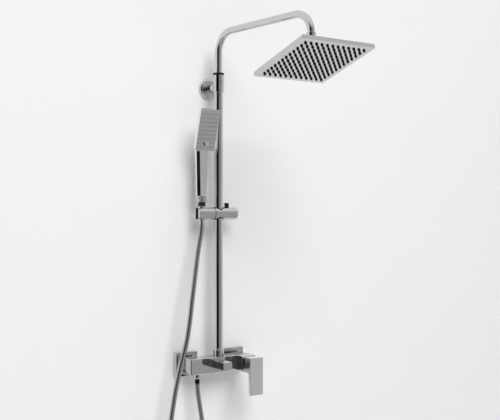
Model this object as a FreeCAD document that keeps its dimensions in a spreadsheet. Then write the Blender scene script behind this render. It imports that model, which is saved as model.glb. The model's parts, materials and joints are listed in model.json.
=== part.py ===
"""Wall-mounted shower set: a bar mixer on two wall inlets, a riser with a telescoping arm and a square
rain head, and a hand shower on a sliding holder with its hose.

Millimetres. X runs to the right along the wall, Y into the wall and Z up. The origin lies on the wall,
midway between the two inlets. "out" is a distance in front of the wall, so a point's y is minus its out.
"""

import FreeCAD, Part
import math
import os
import re

SIZES = {
    # Gaps: parts screwed or pushed together, running fits, free faces, and flat seats
    "close_gap": 0.04,
    "run_gap": 0.08,
    "free_gap": 0.3,
    "seat_gap": 0.3,
    # Wall inlets: escutcheons, unions, nuts, washers and tailpieces
    "inlet_spacing": 150,
    "flange_side": 66,
    "flange_depth": 15.5,
    "flange_wall": 1.6,
    "flange_round": 1.2,
    "union_thread": 20.9,
    "union_insertion": 18,
    "union_end": 26.2,
    "union_reach": 22.3,
    "union_bore": 13,
    "nut_flats": 30,
    "nut_collar": 2.4,
    "washer_thickness": 2.2,
    "washer_web": 0.6,
    "tail_flange": 2.5,
    "tail_stem": 20,
    "tail_insertion": 9,
    "tail_bore": 14.6,
    "check_length": 11,
    "check_bore": 8,
    # Mixer body
    "body_depth": 41.1,
    "body_left": 93,
    "body_top": 21.2,
    "body_bottom": 22,
    "body_round": 36,
    "body_chamfer": 1.6,
    "channel_bore": 6,
    "lane_wall": 0.9,
    "riser_channel": 8,
    "mixed_drop": 8,
    # Lever valve
    "collar_width": 42.6,
    "collar_height": 41,
    "collar_length": 26.2,
    "collar_edge": 0.8,
    "cartridge_dia": 35,
    "cartridge_depth": 23.8,
    "cartridge_length": 39,
    "cartridge_floor": 4,
    "cartridge_port": 5.4,
    "cartridge_port_circle": 17,
    "cartridge_nut_height": 7,
    "disc_thickness": 4,
    "disc_port": 5,
    "moving_disc_dia": 23,
    "turret_dia": 27.6,
    "turret_nose": 14,
    "pivot_depth": 15,
    "pin_dia": 4,
    "pin_inset": 1,
    "stem_side": 8,
    "stem_tail": 11,
    "stem_reach": 25,
    "lever_lift": 22,
    "handle_gap": 3,
    "handle_slope": 17.5,
    "handle_length": 36.4,
    "handle_edge": 1.2,
    "lever_reach": 82,
    "lever_thickness": 8.5,
    "lever_screw_dia": 5,
    "lever_screw_out": 18,
    # Diverter
    "diverter_offset": 12.3,
    "diverter_rise": 4,
    "diverter_width": 27,
    "diverter_height": 21,
    "diverter_base_length": 25.4,
    "diverter_edge": 0.8,
    "knob_gap": 0.6,
    "knob_length": 32,
    "knob_edge": 1,
    "core_dia": 20,
    "core_length": 15.5,
    "core_port": 8,
    "gland_dia": 17,
    "gland_flange": 5,
    "gland_length": 19,
    "spindle_dia": 8,
    "spindle_in_core": 7,
    "spindle_in_knob": 20,
    "o_ring_wire": 1.8,
    "o_ring_step": 6,
    "knob_screw_dia": 4,
    "knob_screw_out": 10,
    # Riser
    "riser_out": 58.7,
    "riser_dia": 25,
    "riser_wall": 1.2,
    "riser_nut_flats": 28,
    "riser_nut_height": 21.8,
    "riser_nut_chamfer": 1,
    "nipple_stem": 18,
    "nipple_insertion": 6,
    "nipple_rise": 10,
    "nipple_bore": 13,
    "seal_thickness": 2,
    # Wall bracket
    "bracket_height": 762.6,
    "rosette_dia": 56,
    "rosette_depth": 10,
    "rosette_round": 7,
    "neck_dia": 22,
    "sleeve_dia": 31,
    "sleeve_drop": 15.6,
    "sleeve_height": 47,
    "sleeve_edge": 1,
    "ring_height": 6,
    "hanger_hole": 8,
    "hanger_depth": 25,
    "bracket_screw_dia": 5,
    "bracket_screw_rise": 13.4,
    "bracket_screw_proud": 1.4,
    "socket_key": 2.5,
    "socket_depth": 1.2,
    # Arm
    "arm_dia": 19.5,
    "arm_wall": 1,
    "arm_height": 910,
    "arm_reach": 356,
    "arm_turn": 8.7,
    "arm_bend": 55,
    "arm_insertion": 190,
    "bush_skirt": 14,
    "bush_spigot": 12,
    "bush_bore": 12,
    "arm_drop": 91.3,
    # Ball joint
    "ball_dia": 21.6,
    "ball_gap": 0.3,
    "ball_ring": 1.2,
    "ball_neck": 11,
    "ball_bore": 7,
    "ball_neck_length": 16,
    "arm_seat": 8,
    "arm_socket": 14,
    "arm_socket_wall": 2.2,
    "slip_low": 10,
    "slip_high": 32,
    "seal_low": -60,
    "seal_high": -12,
    "boss_wall": 2.9,
    "socket_thread": 6,
    "socket_nut_wall": 2.4,
    "socket_lip": 7,
    # Rain head
    "head_tilt": 15.9,
    "head_drop": 38,
    "head_side": 214,
    "head_edge": 10.2,
    "head_wall": 1.5,
    "head_corner": 2,
    "head_water_bore": 10,
    "face_thickness": 1.2,
    "mat_thickness": 2,
    "mat_margin": 4,
    "nozzle_margin": 19.5,
    "nozzle_hole": 7.6,
    "nozzle_dia": 7.2,
    "nozzle_tip": 6,
    "nozzle_proud": 4,
    # Slider
    "slider_height": 414,
    "slider_dia": 34,
    "slider_left": 16.6,
    "slider_right": 59,
    "slider_round": 9,
    "slider_bush_wall": 1.6,
    "slider_bush_proud": 0.8,
    "shoe_side": 8,
    "shoe_length": 6.4,
    "button_place": 26,
    "button_width": 10,
    "button_depth": 10,
    "button_cap": 17,
    "button_proud": 12,
    "button_travel": 3,
    "button_edge": 1,
    "button_stem": 8,
    "button_stem_length": 10,
    "spring_length": 10.5,
    "spring_dia": 6.4,
    "spring_wire": 0.9,
    "hub_dia": 18,
    "hub_length": 17,
    "tilt_washer_thickness": 2,
    "tilt_screw_dia": 5,
    "tilt_screw_head": 8.4,
    "tilt_screw_head_height": 2,
    "tilt_screw_insertion": 11,
    "tilt_web": 4.4,
    "holder_reach": 53,
    "holder_end": 15,
    "holder_edge": 1,
    "socket_top": 22.6,
    "socket_bottom": 19.6,
    "slot_width": 15,
    "cut_margin": 1,
    # Hand shower
    "cone_bottom": 19,
    "cone_rise": 2,
    "cone_neck": 20.8,
    "cone_neck_length": 12,
    "cone_collar": 28,
    "cone_collar_height": 17,
    "cone_bore": 10,
    "handle_thread": 20,
    "handle_thread_length": 12,
    "handle_width": 38,
    "handle_depth": 22,
    "handle_foot_width": 32,
    "handle_foot_depth": 19.6,
    "handle_height": 132,
    "handle_chamfer": 6.8,
    "handle_bore": 10,
    "hand_tilt": 17,
    "hand_face_out": 16.3,
    "hand_overlap": 11,
    "hand_width": 59.5,
    "hand_length": 114,
    "hand_thickness": 11,
    "hand_corner": 5,
    "hand_rim": 2,
    "hand_cavity": 8,
    "hand_face_thickness": 1.2,
    "hand_mat_thickness": 1.8,
    "jet_pitch": 8,
    "jet_row_pitch": 11.3,
    "jet_row_start": 10.8,
    "jet_hole": 3.4,
    "jet_dia": 3,
    "jet_proud": 0.8,
    "selector_width": 17,
    "selector_height": 11,
    "selector_rise": 19,
    "selector_proud": 1.5,
    "selector_depth": 6,
    "selector_flange": 1.4,
    "selector_flange_thickness": 1.4,
    # Hose
    "hose_dia": 14,
    "hose_valley": 12.4,
    "hose_bore": 8.6,
    "outlet_x": 65,
    "outlet_out": 55,
    "outlet_dia": 16.6,
    "outlet_bore": 10.5,
    "outlet_insertion": 20,
    "outlet_drop": 7,
    "outlet_nut_dia": 20.6,
    "outlet_nut_gap": 1,
    "outlet_nut_floor": 4,
    "outlet_nut_tip": 15,
}

# Counts of what repeats
NOZZLES = 12
JET_COLUMNS = 7
JET_ROWS = 7
SIDE_COLUMNS = 2
SIDE_ROWS = 2
SPRING_TURNS = 4
HOSE_RIBS = 190

# The hose's way from the hand shower down past the mixer, round its hanging loop and up to the outlet:
# x, out and height of each corner between its two straight ends. Above the mixer the height is a share of
# the height of the hose's upper end. A bend takes a share of the runs beside it.
HOSE_DESCENT = [
    (-66.5, 62.5, 0.797),
    (-80.5, 71, 0.628),
    (-94.5, 79.5, 0.461),
    (-104, 82, 0.296),
    (-113.5, 81, 0.162),
    (-129, 79, 0.025),
]
HOSE_LOOP = [
    (-142, 74.5, -55),
    (-151, 70, -120),
    (-158, 65, -190),
    (-166, 60, -265),
    (-173, 57, -345),
    (-178, 57, -428),
    (-130, 57, -476),
    (-62, 56.5, -476),
    (-14, 56, -428),
    (-22, 56, -330),
    (-36, 56, -235),
    (-50, 56, -155),
    (-58.5, 55.5, -104),
]
HOSE_TOP_RUN = 26
HOSE_END_RUN = 30
BEND_SHARE = 0.45

# Coordinates this close are the same, and the poles of a ball lie at this latitude
SAME = 0.01
POLE = 90

V = FreeCAD.Vector
AXES = {
    "up": FreeCAD.Rotation(),
    "down": FreeCAD.Rotation(V(1, 0, 0), 180),
    "out": FreeCAD.Rotation(V(1, 0, 0), 90),
    "in": FreeCAD.Rotation(V(1, 0, 0), -90),
    "right": FreeCAD.Rotation(V(0, 1, 0), 90),
    "left": FreeCAD.Rotation(V(0, 1, 0), -90),
}

# Places that several pieces share, in the sheet's sizes
TAIL_SEAT = "(union_reach + washer_thickness)"
TAIL_BACK = f"({TAIL_SEAT} + tail_flange)"
BODY_REAR = f"({TAIL_BACK} + nut_collar + seat_gap)"
BODY_FRONT = f"({BODY_REAR} + body_depth)"
TAIL_END = f"({BODY_REAR} + tail_insertion)"
LEVER_X = "(inlet_spacing / 2)"
BODY_RIGHT = f"({LEVER_X} + collar_width / 2)"
COLLAR_FRONT = f"({BODY_FRONT} + collar_length)"
CARTRIDGE_BASE = f"({BODY_FRONT} - cartridge_depth)"
CARTRIDGE_FRONT = f"({CARTRIDGE_BASE} + cartridge_length)"
DISC_SEAT = f"({CARTRIDGE_BASE} + cartridge_floor)"
MIXED_OUT = f"({DISC_SEAT} + 2 * disc_thickness - run_gap)"
TURRET_BACK = f"({DISC_SEAT} + 2 * disc_thickness + run_gap)"
PIVOT = f"({COLLAR_FRONT} - pivot_depth)"
HANDLE_REAR = f"({COLLAR_FRONT} + handle_gap)"
HANDLE_FRONT = f"({HANDLE_REAR} + handle_length)"
STEM_END = f"({HANDLE_REAR} + stem_reach)"
DIVERTER_X = "(-diverter_offset)"
DIVERTER_SEAM = f"({BODY_FRONT} + diverter_base_length)"
KNOB_BACK = f"({DIVERTER_SEAM} + knob_gap)"
GLAND_BACK = f"({BODY_FRONT} - gland_flange)"
CORE_BACK = f"({GLAND_BACK} - run_gap - core_length)"
SPINDLE_BACK = f"({GLAND_BACK} - run_gap - spindle_in_core)"
RISER_FOOT = "(body_top + nipple_rise + seal_thickness)"
RISER_TOP = "(bracket_height - sleeve_drop + sleeve_height)"
ARM_FOOT = f"({RISER_TOP} - arm_insertion)"
ARM_X = "(arm_reach * sin(arm_turn))"
ARM_OUT = "(riser_out + arm_reach * cos(arm_turn))"
BALL_HEIGHT = "(arm_height - arm_drop)"
ARM_END = f"({BALL_HEIGHT} + ball_neck_length + arm_seat)"
SOCKET_RADIUS = "(ball_dia / 2 + 2 * ball_gap + ball_ring)"
FACE_BACK = "(face_thickness - head_drop)"
MAT_BACK = f"({FACE_BACK} + mat_thickness)"
NOZZLE_PITCH = f"((head_side - 2 * nozzle_margin) / {NOZZLES - 1})"
COVER_TOP = "(head_edge - head_drop)"
SLIDER_BORE = "(riser_dia / 2 + run_gap + slider_bush_wall)"
HOLDER_FACE = "(slider_left + tilt_washer_thickness + run_gap)"
HOLDER_LEFT = "(holder_reach + holder_end)"
HUB_END = "(slider_left + hub_length)"
CONE_FOOT = "(slider_height - cone_bottom)"
CONE_TOP = "(slider_height + slider_dia / 2 + cone_rise)"
COLLAR_FOOT = f"({CONE_TOP} + cone_neck_length)"
HANDLE_FOOT = f"({COLLAR_FOOT} + cone_collar_height + close_gap)"
HAND_FACE_OUT = "(riser_out + hand_face_out)"
HAND_FACE_FOOT = f"({HANDLE_FOOT} + handle_height - hand_overlap)"
OUTLET_END = "(-body_bottom - outlet_drop)"
OUTLET_SHOULDER = f"({OUTLET_END} - seal_thickness)"
OUTLET_NUT_FOOT = f"({OUTLET_SHOULDER} - outlet_nut_floor)"

doc = FreeCAD.newDocument("ShowerSet")
sheet = doc.addObject("Spreadsheet::Sheet", "Sizes")
for row, (name, number) in enumerate(SIZES.items(), start=1):
    sheet.set(f"A{row}", name)
    sheet.set(f"B{row}", str(number))
    sheet.setAlias(f"B{row}", name)
doc.recompute()
nodes = []


def formula(text):
    """An expression of the document, from words that name sizes."""

    def cell(word):
        return f"Sizes.{word.group()}" if word.group() in SIZES else word.group()

    return re.sub(r"[a-z]\w*", cell, str(text))


def size(text):
    """The number that a formula gives."""
    return float(sheet.evalExpression(formula(text)))


def node(thing, label):
    """Name a finished sub-part, which is then written to its own file."""
    thing.Label = label
    nodes.append(thing)
    return thing


def set_place(thing, at):
    """Tie a placement's base to x, out and z."""
    x, out, z = at
    thing.setExpression("Placement.Base.x", formula(x))
    thing.setExpression("Placement.Base.y", formula(f"-({out})"))
    thing.setExpression("Placement.Base.z", formula(z))


class Piece:
    """A body made of blocks, rods, cones and balls that are added or, with cut, taken away."""

    def __init__(self, label, at=None, lean=None, about=V(1, 0, 0)):
        """lean is the turn about an axis, as a formula in degrees, of a piece that has its own frame."""
        self.body = doc.addObject("PartDesign::Body", label)
        if lean:
            self.body.Placement = FreeCAD.Placement(V(), FreeCAD.Rotation(about, 1))
            self.body.setExpression("Placement.Rotation.Angle", formula(lean))
        if at:
            set_place(self.body, at)

    def feature(self, kind, cut, at, rotation, sizes):
        made = self.body.newObject(f"PartDesign::{'Subtractive' if cut else 'Additive'}{kind}", kind)
        made.Placement = FreeCAD.Placement(V(), rotation)
        for key, text in sizes.items():
            made.setExpression(key, formula(text))
        set_place(made, at)
        return made

    def block(self, x, out, z, cut=False, lean=None):
        """A box between two values each of x, out and z. lean turns it about X at its first out and z."""
        sides = {
            "Length": f"({x[1]}) - ({x[0]})",
            "Width": f"({out[1]}) - ({out[0]})",
            "Height": f"({z[1]}) - ({z[0]})",
        }
        if not lean:
            return self.feature("Box", cut, (x[0], out[1], z[0]), AXES["up"], sides)
        made = self.feature("Box", cut, (x[0], out[1], z[0]), FreeCAD.Rotation(V(1, 0, 0), 1), sides)
        made.setExpression("Placement.Rotation.Angle", formula(lean))
        return made

    def rod(self, dia, length, at, axis="up", cut=False):
        return self.feature("Cylinder", cut, at, AXES[axis], {"Radius": f"({dia}) / 2", "Height": length})

    def cone(self, dia, end_dia, length, at, axis="up", cut=False):
        sizes = {"Radius1": f"({dia}) / 2", "Radius2": f"({end_dia}) / 2", "Height": length}
        return self.feature("Cone", cut, at, AXES[axis], sizes)

    def ball(self, radius, at, cut=False, low=-POLE, high=POLE):
        sizes = {"Radius": radius, "Angle1": low, "Angle2": high}
        return self.feature("Sphere", cut, at, AXES["up"], sizes)

    def hexagon(self, flats, length, at, axis="up", cut=False):
        sizes = {"Circumradius": f"({flats}) / 2 / cos(30)", "Height": length}
        made = self.feature("Prism", cut, at, AXES[axis], sizes)
        made.Polygon = 6
        return made

    def taper(self, foot, top, height, at):
        """An upright block that goes from one width and depth at its foot to others at its top."""
        sizes = {"Ymin": 0, "Ymax": height}
        for key, (wide, deep) in (("", foot), ("2", top)):
            sizes |= {f"X{key}min": f"-({wide}) / 2", f"X{key}max": f"({wide}) / 2"}
            sizes |= {f"Z{key}min": f"-({deep}) / 2", f"Z{key}max": f"({deep}) / 2"}
        return self.feature("Wedge", False, at, AXES["out"], sizes)

    def ring(self, dia, bore, length, at, axis="up"):
        self.rod(dia, length, at, axis)
        self.rod(bore, length, at, axis, cut=True)
        return self

    def elbow(self, bend, dia, at, turn, cut=False):
        """A quarter of a torus. turn carries the quarter from +X to +Y into its place."""
        sizes = {"Radius1": bend, "Radius2": f"({dia}) / 2", "Angle3": "90"}
        return self.feature("Torus", cut, at, turn, sizes)

    def grid(self, seed, counts, pitches, axes):
        """Repeat a feature along two of the body's own axes."""
        rows = self.body.newObject("PartDesign::LinearPattern", "Grid")
        rows.Originals = [seed]
        lines = {o.Role: o for o in self.body.Origin.OriginFeatures}
        rows.Direction = (lines[axes[0]], [""])
        rows.Direction2 = (lines[axes[1]], [""])
        rows.setExpression("Length", formula(f"{counts[0] - 1} * {pitches[0]}"))
        rows.setExpression("Length2", formula(f"{counts[1] - 1} * {pitches[1]}"))
        rows.Occurrences, rows.Occurrences2 = counts
        self.body.Tip = rows
        return rows

    def keep(self, other):
        """Keep only what lies inside another piece."""
        made = self.body.newObject("PartDesign::Boolean", "Keep")
        made.setObjects([other.body])
        made.Type = "Common"

    def round(self, radius, chosen, kind="Fillet"):
        """Round or chamfer the edges whose ends and middle all pass the test."""
        doc.recompute()
        base = self.body.Tip
        names = []
        for number, edge in enumerate(base.Shape.Edges, start=1):
            first, last = edge.ParameterRange
            points = [edge.valueAt(first + share * (last - first)) for share in (0, 0.5, 1)]
            if all(chosen(p) for p in points):
                names.append(f"Edge{number}")
        made = self.body.newObject(f"PartDesign::{kind}", kind)
        made.Base = (base, names)
        made.setExpression("Radius" if kind == "Fillet" else "Size", formula(radius))
        return made

    def done(self):
        return node(self.body, self.body.Label)


def near(number, text):
    """Whether a coordinate lies at a formula's value."""
    return abs(number - size(text)) < SAME


def at_corner(p, xs, zs):
    """Whether a point lies on an edge of a block that runs out from the wall."""
    return any(near(p.x, x) for x in xs) and any(near(p.z, z) for z in zs)


def group(label, pieces):
    """Several equal solids kept as one sub-part."""
    made = doc.addObject("Part::Compound", label)
    made.Links = [p.body for p in pieces]
    node(made, label)


def supply():
    """What joins the mixer to the two wall inlets."""
    unions, nuts, tails, washers, valves = [], [], [], [], []
    for side, x in (("left", f"(-{LEVER_X})"), ("right", LEVER_X)):
        flange = Piece(f"wall_flange_{side}")
        half = "flange_side / 2"
        flange.block((f"{x} - {half}", f"{x} + {half}"), (0, "flange_depth"), (f"-{half}", half))
        flange.round("flange_round", lambda p: near(p.y, "-flange_depth"))
        inner = "(flange_side / 2 - flange_wall)"
        depth = "flange_depth - flange_wall"
        flange.block((f"{x} - {inner}", f"{x} + {inner}"), (0, depth), (f"-{inner}", inner), cut=True)
        flange.rod("union_end + 2 * close_gap", "flange_depth", (x, 0, 0), "out", cut=True)
        flange.done()

        union = Piece(f"eccentric_union_{side}")
        union.rod("union_thread", "union_insertion", (x, "-union_insertion", 0), "out")
        union.rod("union_end", "union_reach", (x, 0, 0), "out")
        whole = "union_insertion + union_reach"
        union.rod("union_bore", whole, (x, "-union_insertion", 0), "out", cut=True)
        unions.append(union)

        nut = Piece(f"union_nut_{side}")
        start = "(flange_depth + seat_gap)"
        nut.hexagon("nut_flats", f"{BODY_REAR} - seat_gap - {start}", (x, start, 0), "out")
        nut.rod("union_end + 2 * close_gap", f"{TAIL_BACK} - {start}", (x, start, 0), "out", cut=True)
        nut.rod("tail_stem + 2 * close_gap", "nut_collar", (x, TAIL_BACK, 0), "out", cut=True)
        nuts.append(nut)

        washer = Piece(f"filter_washer_{side}")
        washer.rod("union_end - 2 * close_gap", "washer_thickness", (x, "union_reach", 0), "out")
        hollow = "washer_thickness - washer_web"
        washer.rod("union_bore", hollow, (x, "union_reach", 0), "out", cut=True)
        washers.append(washer)

        tail = Piece(f"inlet_tailpiece_{side}")
        tail.rod("union_end - 2 * close_gap", "tail_flange", (x, TAIL_SEAT, 0), "out")
        tail.rod("tail_stem", f"{TAIL_END} - {TAIL_BACK}", (x, TAIL_BACK, 0), "out")
        tail.rod("tail_bore", f"{TAIL_END} - {TAIL_SEAT}", (x, TAIL_SEAT, 0), "out", cut=True)
        tails.append(tail)

        valve = Piece(f"check_valve_{side}")
        at = (x, TAIL_SEAT, 0)
        valves.append(valve.ring("tail_bore - 2 * close_gap", "check_bore", "check_length", at, "out"))
    group("eccentric_unions", unions)
    group("union_nuts", nuts)
    group("filter_washers", washers)
    group("inlet_tailpieces", tails)
    group("check_valves", valves)


def mixer():
    """The bar body with its inlets, waterways and seats."""
    body = Piece("mixer_body")
    ends = ("-body_left", BODY_RIGHT)
    body.block(ends, (BODY_REAR, BODY_FRONT), ("-body_bottom", "body_top"))
    body.round("body_round", lambda p: near(p.y, f"-{BODY_REAR}") and near(p.z, "-body_bottom"))

    def front_or_left(p):
        return near(p.y, f"-{BODY_FRONT}") or near(p.x, "-body_left")

    body.round("body_chamfer", front_or_left, "Chamfer")
    for x in (f"(-{LEVER_X})", LEVER_X):
        seat = "tail_stem + 2 * close_gap"
        body.rod(seat, "tail_insertion", (x, BODY_REAR, 0), "out", cut=True)
    lane = f"({TAIL_END} + lane_wall + channel_bore / 2)"
    port = "(cartridge_port_circle / 2)"
    chamber = f"{lane} + channel_bore / 2 - {TAIL_END}"
    body.rod("tail_bore", chamber, (f"-{LEVER_X}", TAIL_END, 0), "out", cut=True)
    lane_length = "inlet_spacing + channel_bore / 2"
    body.rod("channel_bore", lane_length, (f"-{LEVER_X}", lane, port), "right", cut=True)
    body.rod("cartridge_port", f"{CARTRIDGE_BASE} - {lane}", (LEVER_X, lane, port), "out", cut=True)
    cold_at = (f"{LEVER_X} - {port} * sin(60)", TAIL_END, f"-{port} * cos(60)")
    body.rod("cartridge_port", f"{CARTRIDGE_BASE} - {TAIL_END}", cold_at, "out", cut=True)
    cartridge_seat = "cartridge_dia + 2 * close_gap"
    body.rod(cartridge_seat, "cartridge_depth", (LEVER_X, CARTRIDGE_BASE, 0), "out", cut=True)
    core_seat = "core_dia + 2 * run_gap"
    core_at = (DIVERTER_X, f"{CORE_BACK} - run_gap", "diverter_rise")
    body.rod(core_seat, f"{BODY_FRONT} - {CORE_BACK} + run_gap", core_at, "out", cut=True)
    mixed_at = (DIVERTER_X, MIXED_OUT, "-mixed_drop")
    body.rod("channel_bore", f"{LEVER_X} + diverter_offset", mixed_at, "right", cut=True)
    spout = "outlet_x - diverter_offset"
    body.rod("channel_bore", spout, ("-outlet_x", "outlet_out", 0), "right", cut=True)
    feed = "(diverter_rise + channel_bore / 2)"
    body.rod("channel_bore", "diverter_offset", (DIVERTER_X, "riser_out", feed), "right", cut=True)
    body.rod("riser_channel", "body_top - diverter_rise", (0, "riser_out", "diverter_rise"), cut=True)
    nipple_foot = ("0", "riser_out", "body_top - nipple_insertion")
    body.rod("nipple_stem + 2 * close_gap", "nipple_insertion", nipple_foot, "up", cut=True)
    outlet_top = ("-outlet_x", "outlet_out", "outlet_insertion - body_bottom")
    body.rod("outlet_dia + 2 * close_gap", "outlet_insertion", outlet_top, "down", cut=True)
    body.done()


def lever_valve():
    """The cartridge in its square collar, and the lever that turns and lifts."""
    low, high = "(-collar_height / 2)", "(collar_height / 2)"
    left, right = f"({LEVER_X} - collar_width / 2)", f"({LEVER_X} + collar_width / 2)"
    cartridge_seat = "cartridge_dia + 2 * close_gap"

    collar = Piece("valve_collar")
    collar.block((left, right), (BODY_FRONT, COLLAR_FRONT), (low, high))
    corners = ((left, right), (low, high))
    collar.round("collar_edge", lambda p: near(p.y, f"-{COLLAR_FRONT}") or at_corner(p, *corners))
    collar.rod(cartridge_seat, "collar_length", (LEVER_X, BODY_FRONT, 0), "out", cut=True)
    collar.done()

    housing = Piece("cartridge_body")
    housing.rod("cartridge_dia", "cartridge_length", (LEVER_X, CARTRIDGE_BASE, 0), "out")
    turret_seat = "turret_dia + 2 * run_gap"
    housing.rod(turret_seat, "cartridge_length", (LEVER_X, DISC_SEAT, 0), "out", cut=True)
    housing.rod("channel_bore", "cartridge_dia", (LEVER_X, MIXED_OUT, "-mixed_drop"), "left", cut=True)
    fixed = Piece("ceramic_disc_fixed")
    fixed.rod("turret_dia", "disc_thickness", (LEVER_X, DISC_SEAT, 0), "out")
    for turn in (0, 120, 240):
        x = f"{LEVER_X} + cartridge_port_circle / 2 * sin({turn})"
        z = f"cartridge_port_circle / 2 * cos({turn})"
        housing.rod("cartridge_port", "cartridge_floor", (x, CARTRIDGE_BASE, z), "out", cut=True)
        fixed.rod("disc_port", "disc_thickness", (x, DISC_SEAT, z), "out", cut=True)
    housing.done()
    fixed.done()

    moving = Piece("ceramic_disc_moving")
    face = f"({DISC_SEAT} + disc_thickness + run_gap)"
    moving.rod("moving_disc_dia", "disc_thickness", (LEVER_X, face, 0), "out")
    half = "cartridge_port_circle / 2"
    slot = (f"{LEVER_X} - disc_port / 2", f"{LEVER_X} + disc_port / 2")
    moving.block(slot, (face, f"{face} + disc_thickness / 2"), (f"-{half}", half), cut=True)
    moving.done()

    retainer = Piece("cartridge_nut")
    at = (LEVER_X, CARTRIDGE_FRONT, 0)
    retainer.ring("cartridge_dia", "turret_dia + 2 * free_gap", "cartridge_nut_height", at, "out")
    retainer.done()

    nose = f"({PIVOT} + turret_nose)"
    swing = "(stem_side / 2 / cos(lever_lift) + turret_nose * tan(lever_lift) + free_gap)"
    stem_half = "(stem_side / 2 + free_gap)"
    turret = Piece("turret")
    turret.rod("turret_dia", f"{nose} - {TURRET_BACK}", (LEVER_X, TURRET_BACK, 0), "out")
    slot = (f"{LEVER_X} - {stem_half}", f"{LEVER_X} + {stem_half}")
    floor = f"{PIVOT} - stem_tail - stem_side / 2 * sin(lever_lift) - free_gap"
    turret.block(slot, (floor, nose), (f"-{swing}", swing), cut=True)
    pin_length = "(turret_dia - 2 * pin_inset)"
    pin_at = (f"{LEVER_X} - {pin_length} / 2", PIVOT, 0)
    turret.rod("pin_dia + 2 * close_gap", pin_length, pin_at, "right", cut=True)
    turret.done()

    pin = Piece("stem_pin")
    pin.rod("pin_dia", pin_length, pin_at, "right")
    pin.done()

    stem = Piece("lever_stem")
    across = (f"{LEVER_X} - stem_side / 2", f"{LEVER_X} + stem_side / 2")
    stem.block(across, (f"{PIVOT} - stem_tail", STEM_END), ("-stem_side / 2", "stem_side / 2"))
    pin_bore = "pin_dia + 2 * run_gap"
    stem.rod(pin_bore, "2 * stem_side", (f"{LEVER_X} - stem_side", PIVOT, 0), "right", cut=True)
    stem.done()

    handle = Piece("lever_handle")
    handle.block((left, right), (HANDLE_REAR, HANDLE_FRONT), (low, high))
    blade = (f"{HANDLE_FRONT} - lever_thickness", HANDLE_FRONT)
    handle.block((left, right), blade, ("-lever_reach", low))
    ends = ((left, right), (high, "-lever_reach"))
    handle.round("handle_edge", lambda p: near(p.y, f"-{HANDLE_FRONT}") or at_corner(p, *ends))
    behind = (f"{HANDLE_REAR} - handle_length", HANDLE_REAR)
    handle.block((left, right), behind, (low, "2 * collar_height"), cut=True, lean="handle_slope")
    socket_half = "(stem_side / 2 + close_gap)"
    across = (f"{LEVER_X} - {socket_half}", f"{LEVER_X} + {socket_half}")
    depth = (HANDLE_REAR, f"{STEM_END} + close_gap")
    handle.block(across, depth, (f"-{socket_half}", socket_half), cut=True)
    screw_at = (LEVER_X, f"{HANDLE_REAR} + lever_screw_out", low)
    screw_length = "(collar_height / 2 - stem_side / 2)"
    handle.rod("lever_screw_dia + 2 * close_gap", screw_length, screw_at, "up", cut=True)
    handle.done()
    grub_screw("lever_grub_screw", "lever_screw_dia", screw_length, screw_at, "up")


def grub_screw(label, dia, length, at, axis):
    """A headless screw with a hexagon socket in the end it is turned from."""
    screw = Piece(label)
    screw.rod(dia, length, at, axis)
    screw.hexagon("socket_key", "socket_depth", at, axis, cut=True)
    screw.done()


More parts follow.
